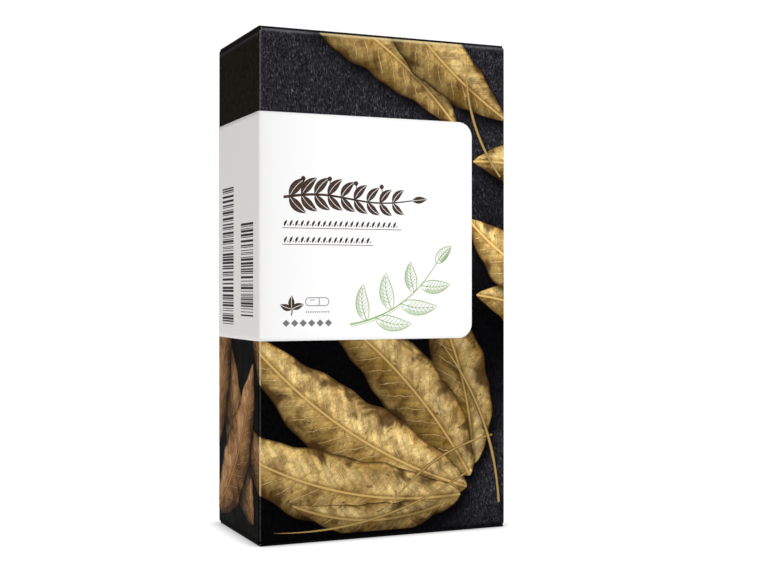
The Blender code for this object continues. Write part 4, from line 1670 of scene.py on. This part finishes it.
class CartonColours(PropertyGroup):
    """Inks, board, paper and contents, in linear light."""

    slate: colour_setting("Slate", "Ground of the picture", (0.0128, 0.0120, 0.0155))
    slate_side: colour_setting(
        "Narrow slate", "Ground on the narrow walls", (0.0112, 0.0088, 0.0050)
    )
    speck: colour_setting("Speck", "Pale streaks in the slate", (0.128, 0.128, 0.148))
    # Pale lines along folds in the slate and in a leaf: partly scuffing and partly a painted
    # highlight.
    worn_highlight: colour_setting("Worn fold", "Line along a fold in the slate", (0.16, 0.15, 0.165))
    worn_leaf_highlight: colour_setting("Worn leaf", "Line along a fold in a leaf", (0.80, 0.66, 0.36))
    ochre: colour_setting("Ochre", "Body of a dry leaf", (0.42, 0.245, 0.055))
    cream: colour_setting("Cream", "Pale parts of a dry leaf", (0.72, 0.48, 0.16))
    highlight: colour_setting(
        "Highlight", "Light along a leaf's veins and upper half", (0.94, 0.73, 0.34)
    )
    brown: colour_setting("Brown", "Stains and grooves of a leaf", (0.165, 0.080, 0.019))
    umber: colour_setting("Umber", "Spots and edges of a leaf", (0.050, 0.021, 0.006))
    side_tone: colour_setting(
        "Narrow tone", "Tone of the picture on the narrow walls", (0.62, 0.48, 0.53)
    )
    label: colour_setting("Label", "White of the label", (0.93, 0.93, 0.928))
    # The label's white as lit on the narrow walls: a warmer tint of light, painted.
    label_side_light: colour_setting(
        "Narrow label", "White of the label on the side", (0.93, 0.885, 0.855)
    )
    # Pale line along the label's folds: partly scuffing and partly a painted highlight.
    label_fold_highlight: colour_setting("Label fold", "Line along the label's folds", (0.95, 0.94, 0.93))
    brown_ink: colour_setting("Brown ink", "Sprig and rules on the label", (0.040, 0.0145, 0.003))
    grey_ink: colour_setting("Grey ink", "Small marks on the label", (0.16, 0.16, 0.165))
    green_ink: colour_setting("Green ink", "Line drawing on the label", (0.30, 0.46, 0.16))
    black_ink: colour_setting("Black ink", "Bar codes", (0.020, 0.017, 0.017))
    board: colour_setting("Board", "Uncoated inside of the board", (0.78, 0.76, 0.71))
    board_grey: colour_setting("Board shadow", "Darker fibres of the board", (0.64, 0.62, 0.57))
    fleck: colour_setting("Fleck", "Small specks in the board", (0.42, 0.36, 0.28))
    film: colour_setting("Film", "Thermoformed film", (0.92, 0.94, 0.95))
    powder: colour_setting("Powder", "Light grains in the capsules", (0.62, 0.44, 0.20))
    powder_dark: colour_setting("Dark powder", "Dark grains in the capsules", (0.40, 0.25, 0.09))
    foil: colour_setting("Foil", "Lidding foil", (0.88, 0.885, 0.89))
    paper: colour_setting("Paper", "Leaflet", (0.88, 0.87, 0.84))
    paper_grey: colour_setting("Paper shadow", "Darker fibres of the leaflet", (0.76, 0.75, 0.72))
    floor: colour_setting("Floor", "Pale floor", (0.26, 0.26, 0.26))


class CartonStage(PropertyGroup):
    """Strength of the lights, and where the key light comes from."""

    surround: strength_setting("Surround", "Even light from all round", 0.155)
    overhead: strength_setting("Overhead", "Broad light from above", 1.6)
    key: strength_setting("Key", "Soft light from the front right", 1.34)
    # The table's own glow, which is no lamp; near the carton it fades as a painted contact shadow.
    table: strength_setting("Table", "Light that comes through the table", 0.90)
    key_from: FloatVectorProperty(
        name="Key from", description="Where the key light comes from", default=(0.42, -0.80, 0.50),
        subtype="DIRECTION",
    )


# Operators, in the order in which the main function calls them

class CARTON_OT_stage(Operator):
    """Floor, surroundings, lights and camera"""

    bl_idname = "carton.stage"
    bl_label = "Stage"

    def execute(self, context):
        stage = context.scene.carton_stage
        make_floor()
        make_surroundings()
        make_sun("key_light", tuple(stage.key_from), stage.key, KEY_SPREAD)
        make_sun("overhead_light", OVERHEAD_FROM, stage.overhead, OVERHEAD_SPREAD)
        make_camera()
        context.scene.view_settings.view_transform = "Standard"
        return {"FINISHED"}


class CARTON_OT_sleeve(Operator):
    """Four printed walls and the glue flap"""

    bl_idname = "carton.sleeve"
    bl_label = "Sleeve"

    def execute(self, context):
        materials = board_materials()
        dress(make_sleeve(materials), "carton", "printed_board", "sleeve")
        plain = [materials[side] for side in (PLAIN, PLAIN, CUT)]
        dress(make_glue_flap(plain), "carton", "plain_board")
        return {"FINISHED"}


class CARTON_OT_closures(Operator):
    """Lid and bottom panel with their tongues and dust flaps, each with its crease"""

    bl_idname = "carton.closures"
    bl_label = "Closures"

    def execute(self, context):
        for lower in (False, True):
            make_closure(lower)
        return {"FINISHED"}


class CARTON_OT_leaves(Operator):
    """Dry leaves printed on the slate ground"""

    bl_idname = "carton.leaves"
    bl_label = "Leaf print"

    def execute(self, context):
        material = leaf_print()
        for leaf in LEAVES:
            dress(make_leaf(leaf, material), "carton", "leaf_print")
        return {"FINISHED"}


class CARTON_OT_label(Operator):
    """White label round the left wall, with its ornaments"""

    bl_idname = "carton.label"
    bl_label = "Label"

    def execute(self, context):
        tones = context.scene.carton_colours
        dress(make_label(label_print()), "carton", "label_print")
        brown = ink("brown_ink", tones.brown_ink)
        print_marks("brown_sprig", brown_sprig(), brown, "brown_ink")
        print_marks("brown_rules", brown_rules(), brown, "brown_ink")
        print_marks("brown_trefoil", brown_trefoil(), brown, "brown_ink")
        print_marks("grey_marks", grey_marks(), ink("grey_ink", tones.grey_ink), "black_ink")
        print_marks("green_sprig", green_sprig(), ink("green_ink", tones.green_ink), "green_ink")
        print_marks("back_table", back_table(), brown, "brown_ink")
        return {"FINISHED"}


class CARTON_OT_bar_codes(Operator):
    """Two made-up bar codes on the left wall"""

    bl_idname = "carton.bar_codes"
    bl_label = "Bar codes"

    def execute(self, context):
        form = context.scene.carton_form
        black = ink("black_ink", context.scene.carton_colours.black_ink, 0.05)
        first = bar_code(-15.3, -4.5, 59.4, 84.2, form.seed)
        second = bar_code(-33.2, -22.2, 56.9, 94.7, form.seed + 1)
        print_marks("bar_code_1", first, black, "black_ink")
        print_marks("bar_code_2", second, black, "black_ink")
        return {"FINISHED"}


class CARTON_OT_strips(Operator):
    """Blister strips: film, capsules and foil"""

    bl_idname = "carton.strips"
    bl_label = "Blister strips"

    def execute(self, context):
        film, shell, foil = clear_film(), capsule_shell(), pressed_foil()
        for number in range(1, STRIPS + 1):
            make_film(number, film)
            make_capsules(number, shell)
            make_foil(number, foil)
        return {"FINISHED"}


class CARTON_OT_leaflet(Operator):
    """Folded leaflet in front of the strips"""

    bl_idname = "carton.leaflet"
    bl_label = "Leaflet"

    def execute(self, context):
        make_leaflet(leaflet_stock())
        return {"FINISHED"}


PARTS = (
    CARTON_OT_stage,
    CARTON_OT_sleeve,
    CARTON_OT_closures,
    CARTON_OT_leaves,
    CARTON_OT_label,
    CARTON_OT_bar_codes,
    CARTON_OT_strips,
    CARTON_OT_leaflet,
)


class CARTON_PT_parts(Panel):
    """Lists the carton's parts in the 3D view's sidebar."""

    bl_idname = "CARTON_PT_parts"
    bl_label = "Folding carton"
    bl_space_type = "VIEW_3D"
    bl_region_type = "UI"
    bl_category = "Carton"

    def draw(self, context):
        for part in PARTS:
            self.layout.operator(part.bl_idname)
        for group in (context.scene.carton_form, context.scene.carton_stage):
            for name in group.__annotations__:
                self.layout.prop(group, name)


GROUPS = {
    "carton_form": CartonForm,
    "carton_colours": CartonColours,
    "carton_stage": CartonStage,
}
CLASSES = (*GROUPS.values(), *PARTS, CARTON_PT_parts)


def register():
    for cls in CLASSES:
        bpy.utils.register_class(cls)
    for name, group in GROUPS.items():
        setattr(bpy.types.Scene, name, PointerProperty(type=group))


def unregister():
    for name in GROUPS:
        delattr(bpy.types.Scene, name)
    for cls in reversed(CLASSES):
        bpy.utils.unregister_class(cls)


def main():
    register()
    for part in PARTS:
        group, name = part.bl_idname.split(".")
        getattr(getattr(bpy.ops, group), name)()


if __name__ == "__main__":
    main()
